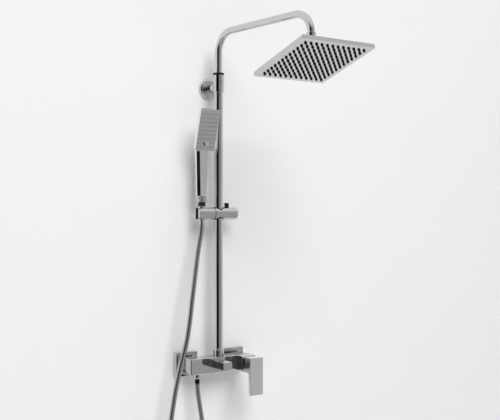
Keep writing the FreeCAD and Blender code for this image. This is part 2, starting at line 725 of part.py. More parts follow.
def diverter():
    """The square knob that sends the water to the rain head or to the hose."""
    left, right = f"({DIVERTER_X} - diverter_width / 2)", f"({DIVERTER_X} + diverter_width / 2)"
    low, high = "(diverter_rise - diverter_height / 2)", "(diverter_rise + diverter_height / 2)"
    rise = "diverter_rise"

    base = Piece("diverter_base")
    base.block((left, right), (BODY_FRONT, DIVERTER_SEAM), (low, high))
    corners = ((left, right), (low, high))
    base.round("diverter_edge", lambda p: near(p.y, f"-{DIVERTER_SEAM}") or at_corner(p, *corners))
    bore_at = (DIVERTER_X, BODY_FRONT, rise)
    base.rod("gland_dia + 2 * close_gap", "diverter_base_length", bore_at, "out", cut=True)
    base.done()

    spindle_bore = "spindle_dia + 2 * run_gap"
    groove = "(spindle_dia + 2 * run_gap + 2 * o_ring_wire + 2 * close_gap)"
    gland = Piece("diverter_gland")
    gland.rod("core_dia", "gland_flange", (DIVERTER_X, GLAND_BACK, rise), "out")
    gland.rod("gland_dia", "gland_length", (DIVERTER_X, BODY_FRONT, rise), "out")
    whole = "gland_flange + gland_length"
    gland.rod(spindle_bore, whole, (DIVERTER_X, GLAND_BACK, rise), "out", cut=True)
    rings = []
    for number in (1, 2):
        place = f"({BODY_FRONT} + {number} * o_ring_step)"
        groove_at = (DIVERTER_X, f"{place} - close_gap", rise)
        gland.rod(groove, "o_ring_wire + 2 * close_gap", groove_at, "out", cut=True)
        ring = Piece(f"diverter_o_ring_{number}")
        wire = {"Radius1": "(spindle_dia + o_ring_wire) / 2 + run_gap", "Radius2": "o_ring_wire / 2"}
        ring_at = (DIVERTER_X, f"{place} + o_ring_wire / 2", rise)
        ring.feature("Torus", False, ring_at, AXES["out"], wire)
        rings.append(ring)
    gland.done()
    group("diverter_o_rings", rings)

    core = Piece("diverter_core")
    core.rod("core_dia", "core_length", (DIVERTER_X, CORE_BACK, rise), "out")
    port_at = (DIVERTER_X, f"{CORE_BACK} + core_port / 2 + washer_web", rise)
    core.rod("core_port", "core_dia", port_at, "right", cut=True)
    core.rod("core_port", "core_dia", port_at, "up", cut=True)
    socket = "spindle_dia + 2 * close_gap"
    core.rod(socket, "spindle_in_core", (DIVERTER_X, SPINDLE_BACK, rise), "out", cut=True)
    core.done()

    spindle = Piece("diverter_spindle")
    tip = f"({KNOB_BACK} + spindle_in_knob)"
    spindle.rod("spindle_dia", f"{tip} - {SPINDLE_BACK}", (DIVERTER_X, SPINDLE_BACK, rise), "out")
    spindle.done()

    knob = Piece("diverter_knob")
    front = f"({KNOB_BACK} + knob_length)"
    knob.block((left, right), (KNOB_BACK, front), (low, high))
    knob.round("knob_edge", lambda p: near(p.y, f"-{front}") or at_corner(p, *corners))
    knob.rod(socket, "spindle_in_knob + close_gap", (DIVERTER_X, KNOB_BACK, rise), "out", cut=True)
    screw_at = (DIVERTER_X, f"{KNOB_BACK} + knob_screw_out", low)
    screw_length = "(diverter_height / 2 - spindle_dia / 2)"
    knob.rod("knob_screw_dia + 2 * close_gap", screw_length, screw_at, "up", cut=True)
    knob.done()
    grub_screw("diverter_grub_screw", "knob_screw_dia", screw_length, screw_at, "up")


def riser():
    """The fixed tube on the mixer's top, and its nut and seal."""
    nipple = Piece("riser_nipple")
    nipple.rod("riser_dia", "nipple_rise", (0, "riser_out", "body_top"))
    foot = (0, "riser_out", "body_top - nipple_insertion")
    nipple.rod("nipple_stem", "nipple_insertion", foot)
    nipple.rod("nipple_bore", "nipple_insertion + nipple_rise", foot, cut=True)
    nipple.done()

    seal = Piece("riser_seal")
    seal_at = (0, "riser_out", "body_top + nipple_rise")
    seal.ring("riser_dia", "nipple_bore", "seal_thickness", seal_at).done()

    tube = Piece("riser_tube")
    at = (0, "riser_out", RISER_FOOT)
    tube.ring("riser_dia", "riser_dia - 2 * riser_wall", f"{RISER_TOP} - {RISER_FOOT}", at).done()

    nut = Piece("riser_nut")
    at = (0, "riser_out", "body_top")
    nut.hexagon("riser_nut_flats", "riser_nut_height", at)
    nut.round("riser_nut_chamfer", lambda p: near(p.z, "body_top + riser_nut_height"), "Chamfer")
    nut.rod("riser_dia + 2 * close_gap", "riser_nut_height", at, cut=True)
    nut.done()


def bracket():
    """The upper wall bracket, with the guide ring and screw for the arm."""
    bore = "(riser_dia + 2 * close_gap)"
    foot = "(bracket_height - sleeve_drop)"
    screw_height = "(bracket_height + bracket_screw_rise)"

    body = Piece("bracket_body")
    body.rod("neck_dia", "riser_out", (0, 0, "bracket_height"), "out")
    body.rod("sleeve_dia", "sleeve_height", (0, "riser_out", foot))
    body.round("sleeve_edge", lambda p: near(p.z, foot))
    body.rod(bore, "sleeve_height", (0, "riser_out", foot), cut=True)
    body.rod("hanger_hole", "hanger_depth", (0, 0, "bracket_height"), "out", cut=True)
    screw_hole = "bracket_screw_dia + 2 * close_gap"
    body.rod(screw_hole, "sleeve_dia / 2", (0, "riser_out", screw_height), "out", cut=True)
    body.done()

    rosette = Piece("bracket_rosette")
    rosette.rod("rosette_dia", "rosette_depth", (0, 0, "bracket_height"), "out")
    rosette.round("rosette_round", lambda p: near(p.y, "-rosette_depth"))
    rosette.rod("neck_dia + 2 * close_gap", "rosette_depth", (0, 0, "bracket_height"), "out", cut=True)
    rosette.done()

    ring = Piece("bracket_ring")
    at = (0, "riser_out", RISER_TOP)
    ring.ring("sleeve_dia", "arm_dia + 2 * run_gap", "ring_height", at).done()

    inner = f"({bore} / 2)"
    length = f"(sleeve_dia / 2 + bracket_screw_proud - {inner})"
    tip = (0, f"riser_out + {inner} + {length}", screw_height)
    grub_screw("bracket_grub_screw", "bracket_screw_dia", length, tip, "in")


def arm():
    """The tube that telescopes out of the riser and carries the rain head."""
    bush = Piece("arm_bush")
    outer = "(riser_dia - 2 * riser_wall - 2 * run_gap)"
    bush_foot = f"({ARM_FOOT} - bush_skirt)"
    bush.rod(outer, "bush_skirt", (0, "riser_out", bush_foot))
    bush.rod("arm_dia - 2 * arm_wall - 2 * run_gap", "bush_spigot", (0, "riser_out", ARM_FOOT))
    bush.rod("bush_bore", "bush_skirt + bush_spigot", (0, "riser_out", bush_foot), cut=True)
    rings = []
    for share in (1, 2):
        height = f"({bush_foot} + {share} * bush_skirt / 3)"
        wire = {"Radius1": f"({outer} - o_ring_wire) / 2", "Radius2": "o_ring_wire / 2 + close_gap"}
        bush.feature("Torus", True, (0, "riser_out", height), AXES["up"], wire)
        ring = Piece(f"arm_o_ring_{share}")
        wire = {"Radius1": f"({outer} - o_ring_wire) / 2", "Radius2": "o_ring_wire / 2"}
        ring.feature("Torus", False, (0, "riser_out", height), AXES["up"], wire)
        rings.append(ring)
    bush.done()
    group("arm_o_rings", rings)

    tube = Piece("arm_tube", (0, "riser_out", 0), "arm_turn", V(0, 0, 1))
    rise = f"(arm_height - arm_bend - {ARM_FOOT})"
    drop = f"(arm_height - arm_bend - {ARM_END})"
    first = FreeCAD.Rotation(V(0, 0, 1), V(0, 1, 0), V(-1, 0, 0), "ZXY")
    second = FreeCAD.Rotation(V(0, -1, 0), V(0, 0, 1), V(-1, 0, 0), "ZXY")
    bore = "(arm_dia - 2 * arm_wall)"
    for dia, cut in (("arm_dia", False), (bore, True)):
        tube.rod(dia, rise, (0, 0, ARM_FOOT), cut=cut)
        tube.elbow("arm_bend", dia, (0, "arm_bend", "arm_height - arm_bend"), first, cut)
        tube.rod(dia, "arm_reach - 2 * arm_bend", (0, "arm_bend", "arm_height"), "out", cut)
        tube.elbow("arm_bend", dia, (0, "arm_reach - arm_bend", "arm_height - arm_bend"), second, cut)
        tube.rod(dia, drop, (0, "arm_reach", ARM_END), cut=cut)
    tube.done()

    nipple = Piece("ball_nipple")
    collar_foot = f"({BALL_HEIGHT} + ball_neck_length)"
    nipple.rod("arm_dia + 2 * arm_socket_wall", "arm_seat + arm_socket", (ARM_X, ARM_OUT, collar_foot))
    nipple.round("sleeve_edge", lambda p: True)
    nipple.rod("ball_neck", "ball_neck_length", (ARM_X, ARM_OUT, BALL_HEIGHT))
    nipple.ball("ball_dia / 2", (ARM_X, ARM_OUT, BALL_HEIGHT))
    nipple.rod("arm_dia + 2 * close_gap", "arm_socket", (ARM_X, ARM_OUT, ARM_END), cut=True)
    through = "ball_dia / 2 + ball_neck_length + arm_seat"
    nipple.rod("ball_bore", through, (ARM_X, ARM_OUT, f"{BALL_HEIGHT} - ball_dia / 2"), cut=True)
    nipple.done()


def rain_head():
    """The square head on its ball joint, in the head's own tilted frame round the ball's centre."""
    frame = {"at": (ARM_X, ARM_OUT, BALL_HEIGHT), "lean": "-head_tilt"}
    centre = (0, 0, 0)
    inner = "(ball_dia / 2 + ball_gap)"
    zones = [("slip_ring", "slip_low", "slip_high"), ("ball_seal", "seal_low", "seal_high")]
    for label, low, high in zones:
        zone = Piece(label, **frame)
        zone.ball(f"{inner} + ball_ring", centre, low=low, high=high)
        zone.ball(inner, centre, cut=True)
        zone.done()

    boss = f"(2 * {SOCKET_RADIUS} + 2 * boss_wall)"
    nut = Piece("head_socket_nut", **frame)
    nut.rod(f"{boss} + 2 * socket_nut_wall", "socket_thread + socket_lip", (0, 0, "-socket_thread"))
    nut.round("sleeve_edge", lambda p: True)
    nut.rod(f"{boss} + 2 * close_gap", "socket_thread - run_gap", (0, 0, "-socket_thread"), cut=True)
    nut.ball(SOCKET_RADIUS, centre, cut=True)
    nut.done()

    half = "(head_side / 2)"
    cover = Piece("head_cover", **frame)
    cover.block((f"-{half}", half), (f"-{half}", half), ("-head_drop", COVER_TOP))
    cover.round("head_corner", lambda p: near(abs(p.x), half) and near(abs(p.y), half))
    inside = "(head_side / 2 - head_wall)"
    roof = f"({COVER_TOP} - head_wall)"
    cover.block((f"-{inside}", inside), (f"-{inside}", inside), ("-head_drop", roof), cut=True)
    cover.rod(boss, f"-run_gap - {roof}", (0, 0, roof))
    cover.ball(SOCKET_RADIUS, centre, cut=True)
    cover.rod("head_water_bore", f"-{roof}", (0, 0, roof), cut=True)
    cover.done()

    first = "(nozzle_margin - head_side / 2)"
    last = "(head_side / 2 - nozzle_margin)"
    counts = (NOZZLES, NOZZLES)
    plate_half = "(head_side / 2 - head_wall - close_gap)"
    face = Piece("head_face", **frame)
    plate = (f"-{plate_half}", plate_half)
    face.block(plate, plate, ("-head_drop", FACE_BACK))
    hole = face.rod("nozzle_hole", "face_thickness", (first, last, "-head_drop"), cut=True)
    face.grid(hole, counts, (NOZZLE_PITCH, NOZZLE_PITCH), ("X_Axis", "Y_Axis"))
    face.done()

    mat_half = "(head_side / 2 - head_wall - mat_margin)"
    mat = Piece("head_nozzles", **frame)
    mat.block((f"-{mat_half}", mat_half), (f"-{mat_half}", mat_half), (FACE_BACK, MAT_BACK))
    length = "face_thickness + nozzle_proud"
    nozzle = mat.cone("nozzle_dia", "nozzle_tip", length, (first, last, FACE_BACK), "down")
    mat.grid(nozzle, counts, (NOZZLE_PITCH, NOZZLE_PITCH), ("X_Axis", "Y_Axis"))
    mat.done()


def socket_dia(height):
    """The width of the holder's tapered socket at a height."""
    foot = "(slider_height - slider_dia / 2)"
    return f"(socket_bottom + (socket_top - socket_bottom) / slider_dia * ({height} - {foot}))"


def slider():
    """The holder that slides on the riser: clamp, bush, brake and button, and the tilting socket."""
    axis_at = ("riser_out", "slider_height")
    low, high = "(slider_height - slider_dia / 2)", "(slider_height + slider_dia / 2)"
    cap_foot = f"({high} + button_proud - button_cap)"
    pocket_floor = f"({cap_foot} - button_travel - free_gap)"
    stem_foot = f"({cap_foot} - button_stem_length)"
    spring_foot = f"({stem_foot} - spring_length)"
    half_shoe = "(shoe_side / 2 + free_gap)"
    shoe_end = "(riser_dia / 2 + run_gap + shoe_length)"

    body = Piece("slider_body")
    body.rod("slider_dia", "slider_left + slider_right", ("-slider_left", *axis_at), "right")
    body.round("slider_round", lambda p: near(p.x, "slider_right"))
    body.rod("hub_dia", "hub_length", ("-slider_left", *axis_at), "left")
    bush_seat = f"2 * {SLIDER_BORE} + 2 * close_gap"
    seat_foot = (0, "riser_out", f"{low} - cut_margin")
    body.rod(bush_seat, "slider_dia + 2 * cut_margin", seat_foot, cut=True)
    wide = "(button_width / 2 + free_gap)"
    deep = "(button_depth / 2 + free_gap)"
    across = (f"button_place - {wide}", f"button_place + {wide}")
    opening = (pocket_floor, f"{high} + cut_margin")
    body.block(across, (f"riser_out - {deep}", f"riser_out + {deep}"), opening, cut=True)
    bore_at = ("button_place", "riser_out", spring_foot)
    bore_depth = f"{pocket_floor} + cut_margin - {spring_foot}"
    body.rod("button_stem + 2 * free_gap", bore_depth, bore_at, cut=True)
    sides = (f"riser_out - {half_shoe}", f"riser_out + {half_shoe}")
    heights = (f"slider_height - {half_shoe}", f"slider_height + {half_shoe}")
    body.block(("riser_dia / 2", "button_place"), sides, heights, cut=True)
    thread = "tilt_screw_dia + 2 * close_gap"
    body.rod(thread, "tilt_screw_insertion", (f"-{HUB_END}", *axis_at), "right", cut=True)
    body.done()

    bush = Piece("slider_bush")
    bush_at = (0, "riser_out", f"{low} - cut_margin")
    length = "slider_dia + 2 * cut_margin"
    bush.rod(f"2 * {SLIDER_BORE}", length, bush_at)
    saddle = Piece("slider_saddle")
    across_bush = ("-slider_dia / 2", *axis_at)
    saddle.rod("slider_dia + 2 * slider_bush_proud", "slider_dia", across_bush, "right")
    bush.keep(saddle)
    bush.rod("riser_dia + 2 * run_gap", length, bush_at, cut=True)
    bush.block((0, "riser_dia"), sides, heights, cut=True)
    bush.done()

    shoe = Piece("brake_shoe")
    shoe.block(
        (0, shoe_end),
        ("riser_out - shoe_side / 2", "riser_out + shoe_side / 2"),
        ("slider_height - shoe_side / 2", "slider_height + shoe_side / 2"),
    )
    shoe.rod("riser_dia + 2 * run_gap", "slider_dia", (0, "riser_out", low), cut=True)
    shoe.done()

    button = Piece("slider_button")
    button.block(
        ("button_place - button_width / 2", "button_place + button_width / 2"),
        ("riser_out - button_depth / 2", "riser_out + button_depth / 2"),
        (cap_foot, f"{high} + button_proud"),
    )
    button.round("button_edge", lambda p: near(p.z, f"{high} + button_proud"))
    button.rod("button_stem", "button_stem_length", ("button_place", "riser_out", stem_foot))
    button.done()

    spring(spring_foot)

    washer = Piece("tilt_washer")
    ring_at = ("-slider_left", *axis_at)
    washer.ring("slider_dia", "hub_dia + 2 * close_gap", "tilt_washer_thickness", ring_at, "left").done()

    screw = Piece("tilt_screw")
    web_face = f"({HUB_END} + run_gap + tilt_web - tilt_screw_head_height)"
    shank = f"{web_face} + run_gap - {HUB_END} + tilt_screw_insertion"
    screw.rod("tilt_screw_head", "tilt_screw_head_height", (f"-{web_face} - run_gap", *axis_at), "left")
    screw.rod("tilt_screw_dia", shank, (f"-{web_face} - run_gap", *axis_at), "right")
    screw.done()

    cup = Piece("holder_cup")
    cup.rod("slider_dia", f"{HOLDER_LEFT} - {HOLDER_FACE}", (f"-{HOLDER_FACE}", *axis_at), "left")
    cup.round("holder_edge", lambda p: near(p.x, f"-{HOLDER_LEFT}"))
    hub_seat = "hub_dia + 2 * run_gap"
    hub_room = f"{HUB_END} + run_gap - {HOLDER_FACE}"
    cup.rod(hub_seat, hub_room, (f"-{HOLDER_FACE}", *axis_at), "left", cut=True)
    screw_bore = "tilt_screw_dia + 2 * run_gap"
    cup.rod(screw_bore, "tilt_web", (f"-{HUB_END} - run_gap", *axis_at), "left", cut=True)
    head_seat = "tilt_screw_head + 2 * free_gap"
    cup.rod(head_seat, f"holder_reach - {web_face}", (f"-{web_face}", *axis_at), "left", cut=True)
    below, above = f"({low} - cut_margin)", f"({high} + cut_margin)"
    socket_at = ("-holder_reach", "riser_out", below)
    cup.cone(socket_dia(below), socket_dia(above), f"{above} - {below}", socket_at, cut=True)
    slot = ("riser_out - slot_width / 2", "riser_out + slot_width / 2")
    cup.block((f"-{HOLDER_LEFT} - cut_margin", "-holder_reach"), slot, (below, above), cut=True)
    cup.done()


def helix_points(radius, pitch, turns):
    """Half-turn points of a helix with the directions there."""
    for number in range(2 * turns + 1):
        turn = math.pi * number
        way = V(-radius * math.sin(turn), radius * math.cos(turn), pitch / (2 * math.pi))
        yield V(radius * math.cos(turn), radius * math.sin(turn), pitch * number / 2), way.normalize()


def tangent_arc(start, way, end):
    """The arc that leaves start along way and reaches end."""
    chord = end - start
    along = chord * (1 / chord.Length)
    aside = way - along * way.dot(along)
    lean = math.acos(max(-1, min(1, way.dot(along))))
    middle = start + chord * 0.5 + aside.normalize() * (chord.Length / 2 * math.tan(lean / 2))
    return Part.Arc(start, middle, end).toShape()


def spring(foot):
    """The coil spring under the slider's button, one wire along pairs of tangent arcs."""
    wire = size("spring_wire")
    radius = size("spring_dia") / 2 - wire / 2
    pitch = (size("spring_length") - wire) / SPRING_TURNS
    stations = list(helix_points(radius, pitch, SPRING_TURNS))
    edges = []
    for (start, way), (end, end_way) in zip(stations, stations[1:]):
        chord, both = end - start, way + end_way
        a = 2 * (way.dot(end_way) - 1)
        b = 2 * chord.dot(both)
        reach = (-b - math.sqrt(b * b + 4 * abs(a) * chord.dot(chord))) / (2 * a)
        meet = (start + way * reach + end - end_way * reach) * 0.5
        through = (end - end_way * reach - start - way * reach).normalize()
        edges.append(tangent_arc(start, way, meet))
        edges.append(tangent_arc(meet, through, end))
    path = Part.Wire(edges)
    circle = Part.Circle(stations[0][0], stations[0][1], wire / 2).toShape()
    coil = path.makePipeShell([Part.Wire([circle])], True, False)
    made = doc.addObject("Part::Feature", "button_spring")
    made.Shape = coil
    set_place(made, ("button_place", "riser_out", f"{foot} + spring_wire / 2"))
    node(made, "button_spring")
    print("spring gap between turns", round(pitch - wire, 2))


def hand_shower():
    """The hand shower standing in the holder, and the hose's cone nut that it stands on."""
    x = "(-holder_reach)"
    at_foot = f"({socket_dia(CONE_FOOT)} - 2 * free_gap)"
    at_top = f"({socket_dia(CONE_TOP)} - 2 * free_gap)"
    thread = "handle_thread + 2 * close_gap"

    cone = Piece("hose_cone_nut")
    cone.cone(at_foot, at_top, f"{CONE_TOP} - {CONE_FOOT}", (x, "riser_out", CONE_FOOT))
    cone.rod("cone_neck", "cone_neck_length", (x, "riser_out", CONE_TOP))
    cone.rod("cone_collar", "cone_collar_height", (x, "riser_out", COLLAR_FOOT))
    middle = V(size(x), -size("riser_out"), size(COLLAR_FOOT))

    def lower_rim(p):
        return near(p.z, COLLAR_FOOT) and near(p.distanceToPoint(middle), "cone_collar / 2")

    cone.round("sleeve_edge", lower_rim)
    cone.rod("cone_bore", f"{HANDLE_FOOT} - {CONE_FOOT}", (x, "riser_out", CONE_FOOT), cut=True)
    thread_foot = f"({HANDLE_FOOT} - handle_thread_length - close_gap)"
    cone.rod(thread, "handle_thread_length", (x, "riser_out", thread_foot), cut=True)
    cone.done()

    shell = Piece("handset_shell")
    handle_top = f"({HANDLE_FOOT} + handle_height)"
    foot, top = ("handle_foot_width", "handle_foot_depth"), ("handle_width", "handle_depth")
    shell.taper(foot, top, "handle_height", (x, "riser_out", HANDLE_FOOT))

    def long_edge(p):
        """Whether a point lies on one of the tapered handle's four long edges."""
        share = (p.z - size(HANDLE_FOOT)) / size("handle_height")
        wide, deep = [size(low) + share * (size(high) - size(low)) for low, high in zip(foot, top)]
        return near(abs(p.x - size(x)), wide / 2) and near(abs(p.y + size("riser_out")), deep / 2)

    shell.round("handle_chamfer", long_edge, "Chamfer")
    inner = f"{HAND_FACE_OUT} - hand_thickness"
    shell.block(
        (f"{x} - hand_width / 2", f"{x} + hand_width / 2"),
        (inner, HAND_FACE_OUT),
        (HAND_FACE_FOOT, f"{HAND_FACE_FOOT} + hand_length"),
        lean="hand_tilt",
    )
    hand_edges(shell)
    thread_at = (x, "riser_out", f"{HANDLE_FOOT} - handle_thread_length")
    shell.rod("handle_thread", "handle_thread_length", thread_at)
    hollow_half = "(hand_width / 2 - hand_rim)"
    mouth = f"({HAND_FACE_OUT} + hand_rim * sin(hand_tilt))"
    sill = f"({HAND_FACE_FOOT} + hand_rim * cos(hand_tilt))"
    shell.block(
        (f"{x} - {hollow_half}", f"{x} + {hollow_half}"),
        (f"{mouth} - hand_cavity", mouth),
        (sill, f"{sill} + hand_length - 2 * hand_rim"),
        cut=True,
        lean="hand_tilt",
    )
    bore = f"{handle_top} - {HANDLE_FOOT} + handle_thread_length - hand_rim"
    shell.rod("handle_bore", bore, thread_at, cut=True)
    shell.done()

    frame = {"at": (x, HAND_FACE_OUT, HAND_FACE_FOOT), "lean": "hand_tilt"}
    plate_half = f"({hollow_half} - close_gap)"
    plate_ends = ("hand_rim + close_gap", "hand_length - hand_rim - close_gap")
    first = f"(-(jet_pitch * {JET_COLUMNS - 1} / 2))"

    def jets(piece, dia, length, behind, axis, cut=False):
        """The full rows of jets above the selector, and the short rows on both sides of it."""
        above = f"(jet_row_start + {SIDE_ROWS} * jet_row_pitch)"
        blocks = [(first, above, (JET_COLUMNS, JET_ROWS))]
        for side in (first, f"(-{first} - {SIDE_COLUMNS - 1} * jet_pitch)"):
            blocks.append((side, "jet_row_start", (SIDE_COLUMNS, SIDE_ROWS)))
        for start, row, counts in blocks:
            seed = piece.rod(dia, length, (start, behind, row), axis, cut=cut)
            piece.grid(seed, counts, ("jet_pitch", "jet_row_pitch"), ("X_Axis", "Z_Axis"))

    selector_half = "(selector_width / 2 + free_gap)"
    face = Piece("handset_face", **frame)
    face.block((f"-{plate_half}", plate_half), ("-hand_face_thickness", 0), plate_ends)
    jets(face, "jet_hole", "hand_face_thickness", 0, "in", cut=True)
    selector_low = "(selector_rise - selector_height / 2)"
    selector_high = "(selector_rise + selector_height / 2)"
    window = (f"{selector_low} - free_gap", f"{selector_high} + free_gap")
    face.block((f"-{selector_half}", selector_half), ("-hand_face_thickness", 0), window, cut=True)
    face.done()

    mat = Piece("handset_nozzles", **frame)
    mat_back = "(hand_face_thickness + hand_mat_thickness)"
    sheet_depth = (f"-{mat_back}", "-hand_face_thickness")
    mat.block((f"-{plate_half}", plate_half), sheet_depth, plate_ends)
    room = "(selector_flange + free_gap)"
    flange_half = f"(selector_width / 2 + {room})"
    flange_ends = (f"{selector_low} - {room}", f"{selector_high} + {room}")
    mat.block((f"-{flange_half}", flange_half), sheet_depth, flange_ends, cut=True)
    jets(mat, "jet_dia", "hand_face_thickness + jet_proud", "-hand_face_thickness", "out")
    mat.done()

    selector = Piece("selector_button", **frame)
    selector.block(
        ("-selector_width / 2", "selector_width / 2"),
        ("selector_proud - selector_depth", "selector_proud"),
        (selector_low, selector_high),
    )
    selector.round("button_edge", lambda p: near(p.y, "-selector_proud"))
    back = "(hand_face_thickness + free_gap)"
    selector.block(
        ("-selector_width / 2 - selector_flange", "selector_width / 2 + selector_flange"),
        (f"-{back} - selector_flange_thickness", f"-{back}"),
        (f"{selector_low} - selector_flange", f"{selector_high} + selector_flange"),
    )
    selector.done()


def hand_edges(shell):
    """Round the four corners of the hand shower's head, seen square on to its face."""
    tilt = math.radians(size("hand_tilt"))
    foot = V(-size("holder_reach"), -size(HAND_FACE_OUT), size(HAND_FACE_FOOT))
    up = V(0, -math.sin(tilt), math.cos(tilt))
    half, length = size("hand_width / 2"), size("hand_length")

    def corner(p):
        rise = (p - foot).dot(up)
        at_end = abs(rise) < SAME or abs(rise - length) < SAME
        return at_end and abs(abs(p.x - foot.x) - half) < SAME

    shell.round("hand_corner", corner)


def hose_path():
    """Straight runs joined by tangent arcs, each as large as its two runs allow."""
    top = V(-size("holder_reach"), -size("riser_out"), size(CONE_FOOT))
    end = V(-size("outlet_x"), -size("outlet_out"), size(OUTLET_NUT_FOOT))
    corners = [top, top - V(0, 0, HOSE_TOP_RUN)]
    corners += [V(x, -out, share * top.z) for x, out, share in HOSE_DESCENT]
    corners += [V(x, -out, z) for x, out, z in HOSE_LOOP]
    corners += [end - V(0, 0, HOSE_END_RUN), end]
    edges, radii, reached = [], [], top
    for before, corner, after in zip(corners, corners[1:], corners[2:]):
        come, go = (corner - before).normalize(), (after - corner).normalize()
        turn = come.getAngle(go)
        cut = BEND_SHARE * min((corner - before).Length, (after - corner).Length)
        radius = cut / math.tan(turn / 2)
        radii.append(radius)
        start, stop = corner - come * cut, corner + go * cut
        inward = (go - come).normalize()
        middle = corner + inward * (radius / math.cos(turn / 2) - radius)
        edges.append(Part.LineSegment(reached, start).toShape())
        edges.append(Part.Arc(start, middle, stop).toShape())
        reached = stop
    edges.append(Part.LineSegment(reached, end).toShape())
    print("hose radii", [round(r) for r in radii])
    return edges


def hose():
    """The ribbed hose: four circles to a rib joined by straight-sided faces, and a plain bore."""
    edges = hose_path()
    long = sum(e.Length for e in edges)
    print("hose length", round(long, 1))

    def circle(along, dia):
        """A circle square to the hose at a distance along it, with its start kept towards the wall."""
        for edge in edges:
            if along <= edge.Length + 1e-6 or edge is edges[-1]:
                break
            along -= edge.Length
        place = edge.getParameterByLength(min(along, edge.Length))
        way = edge.tangentAt(place)
        aside = (V(0, 1, 0) - way * way.y).normalize()
        turned = FreeCAD.Rotation(aside, way.cross(aside), way, "ZXY")
        ring = Part.makeCircle(dia / 2)
        ring.Placement = FreeCAD.Placement(edge.valueAt(place), turned)
        return Part.Wire([ring])

    crest, valley, bore = size("hose_dia"), size("hose_valley"), size("hose_bore")
    straight = crest
    pitch = (long - 2 * straight) / HOSE_RIBS
    outside = [circle(0, valley)]
    for rib in range(HOSE_RIBS):
        start = straight + rib * pitch
        for share, dia in ((0, valley), (0.2, crest), (0.6, crest), (0.8, valley)):
            outside.append(circle(start + share * pitch, dia))
    outside += [circle(long - straight, valley), circle(long, valley)]
    inside = [circle(0, bore)]
    inside += [circle(straight + rib * pitch, bore) for rib in range(HOSE_RIBS + 1)]
    inside.append(circle(long, bore))
    tube = Part.makeLoft(outside, True, True).cut(Part.makeLoft(inside, True, True)).Solids[0]
    made = doc.addObject("Part::Feature", "shower_hose")
    made.Shape = tube
    node(made, "shower_hose")
    flanks = 0.4 * (crest**2 + crest * valley + valley**2) / 3
    ribbed = 0.4 * crest**2 + 0.2 * valley**2 + flanks
    along_ribs = (ribbed - bore**2) * (long - 2 * straight)
    along_ends = (valley**2 - bore**2) * 2 * straight
    expected = math.pi / 4 * (along_ribs + along_ends)
    print("hose volume", round(tube.Volume), "expected", round(expected))


def outlet():
    """The nipple under the mixer, and the nut that holds the hose on it."""
    x = "(-outlet_x)"
    nipple = Piece("outlet_nipple")
    top = (x, "outlet_out", "outlet_insertion - body_bottom")
    length = "outlet_insertion + outlet_drop"
    nipple.rod("outlet_dia", length, top, "down")
    nipple.rod("outlet_bore", length, top, "down", cut=True)
    nipple.done()

    washer = Piece("outlet_washer")
    washer_at = (x, "outlet_out", OUTLET_END)
    washer.ring("outlet_dia", "outlet_bore", "seal_thickness", washer_at, "down").done()

    nut = Piece("hose_outlet_nut")
    nut_top = "(-body_bottom - outlet_nut_gap)"
    nut.rod("outlet_nut_dia", f"{nut_top} - {OUTLET_SHOULDER}", (x, "outlet_out", OUTLET_SHOULDER))
    shoulder = (x, "outlet_out", OUTLET_SHOULDER)
    nut.cone("outlet_nut_dia", "outlet_nut_tip", "outlet_nut_floor", shoulder, "down")
    inside = f"{nut_top} - {OUTLET_SHOULDER}"
    nut.rod("outlet_dia + 2 * close_gap", inside, shoulder, cut=True)
    nut.rod("hose_bore", "outlet_nut_floor", shoulder, "down", cut=True)
    nut.done()


def write():
    """Check every object, then write each sub-part to its own file."""
    doc.recompute()
    bad = [o.Name for o in doc.Objects if {"Invalid", "Error"} & set(o.State)]
    bad += [n.Label for n in nodes if n.Shape.isNull() or not n.Shape.isValid()]
    if bad:
        raise RuntimeError(f"not built: {bad}")
    os.makedirs("parts", exist_ok=True)
    for n in nodes:
        n.Shape.exportStep(f"parts/{n.Label}.step")
        print(n.Label, len(n.Shape.Solids), round(n.Shape.Volume, 1))


BUILDERS = [
    supply,
    mixer,
    lever_valve,
    diverter,
    riser,
    bracket,
    arm,
    rain_head,
    slider,
    hand_shower,
    outlet,
    hose,
]
for build in BUILDERS:
    build()
write()
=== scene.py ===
"""Wall-mounted shower set in chrome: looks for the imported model, in its frame.

X runs to the right along the wall, Y into the wall and Z up. The wall's surface is Y = 0.
Small shapes are worked out in millimetres and laid into the frame in metres.
"""

import json
import math

import bpy
import numpy as np
from mathutils import Matrix, Vector


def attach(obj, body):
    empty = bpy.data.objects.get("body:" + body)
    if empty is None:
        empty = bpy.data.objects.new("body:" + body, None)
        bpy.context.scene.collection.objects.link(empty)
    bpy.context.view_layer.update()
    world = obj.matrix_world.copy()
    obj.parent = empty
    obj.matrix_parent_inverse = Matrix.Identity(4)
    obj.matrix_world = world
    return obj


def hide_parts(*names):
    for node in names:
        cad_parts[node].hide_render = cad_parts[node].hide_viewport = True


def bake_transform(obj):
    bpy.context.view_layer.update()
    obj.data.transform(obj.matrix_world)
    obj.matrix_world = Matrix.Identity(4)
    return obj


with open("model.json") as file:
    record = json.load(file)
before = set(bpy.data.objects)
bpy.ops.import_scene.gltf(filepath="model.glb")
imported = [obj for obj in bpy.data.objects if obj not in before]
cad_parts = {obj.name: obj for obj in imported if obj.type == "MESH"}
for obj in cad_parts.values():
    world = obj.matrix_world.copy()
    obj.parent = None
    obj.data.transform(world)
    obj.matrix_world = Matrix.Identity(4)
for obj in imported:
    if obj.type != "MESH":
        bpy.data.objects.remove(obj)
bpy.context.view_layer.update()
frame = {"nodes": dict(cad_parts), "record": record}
scene = bpy.context.scene
scene.view_settings.view_transform = "Standard"
MM = 0.001
TURN = 2 * math.pi

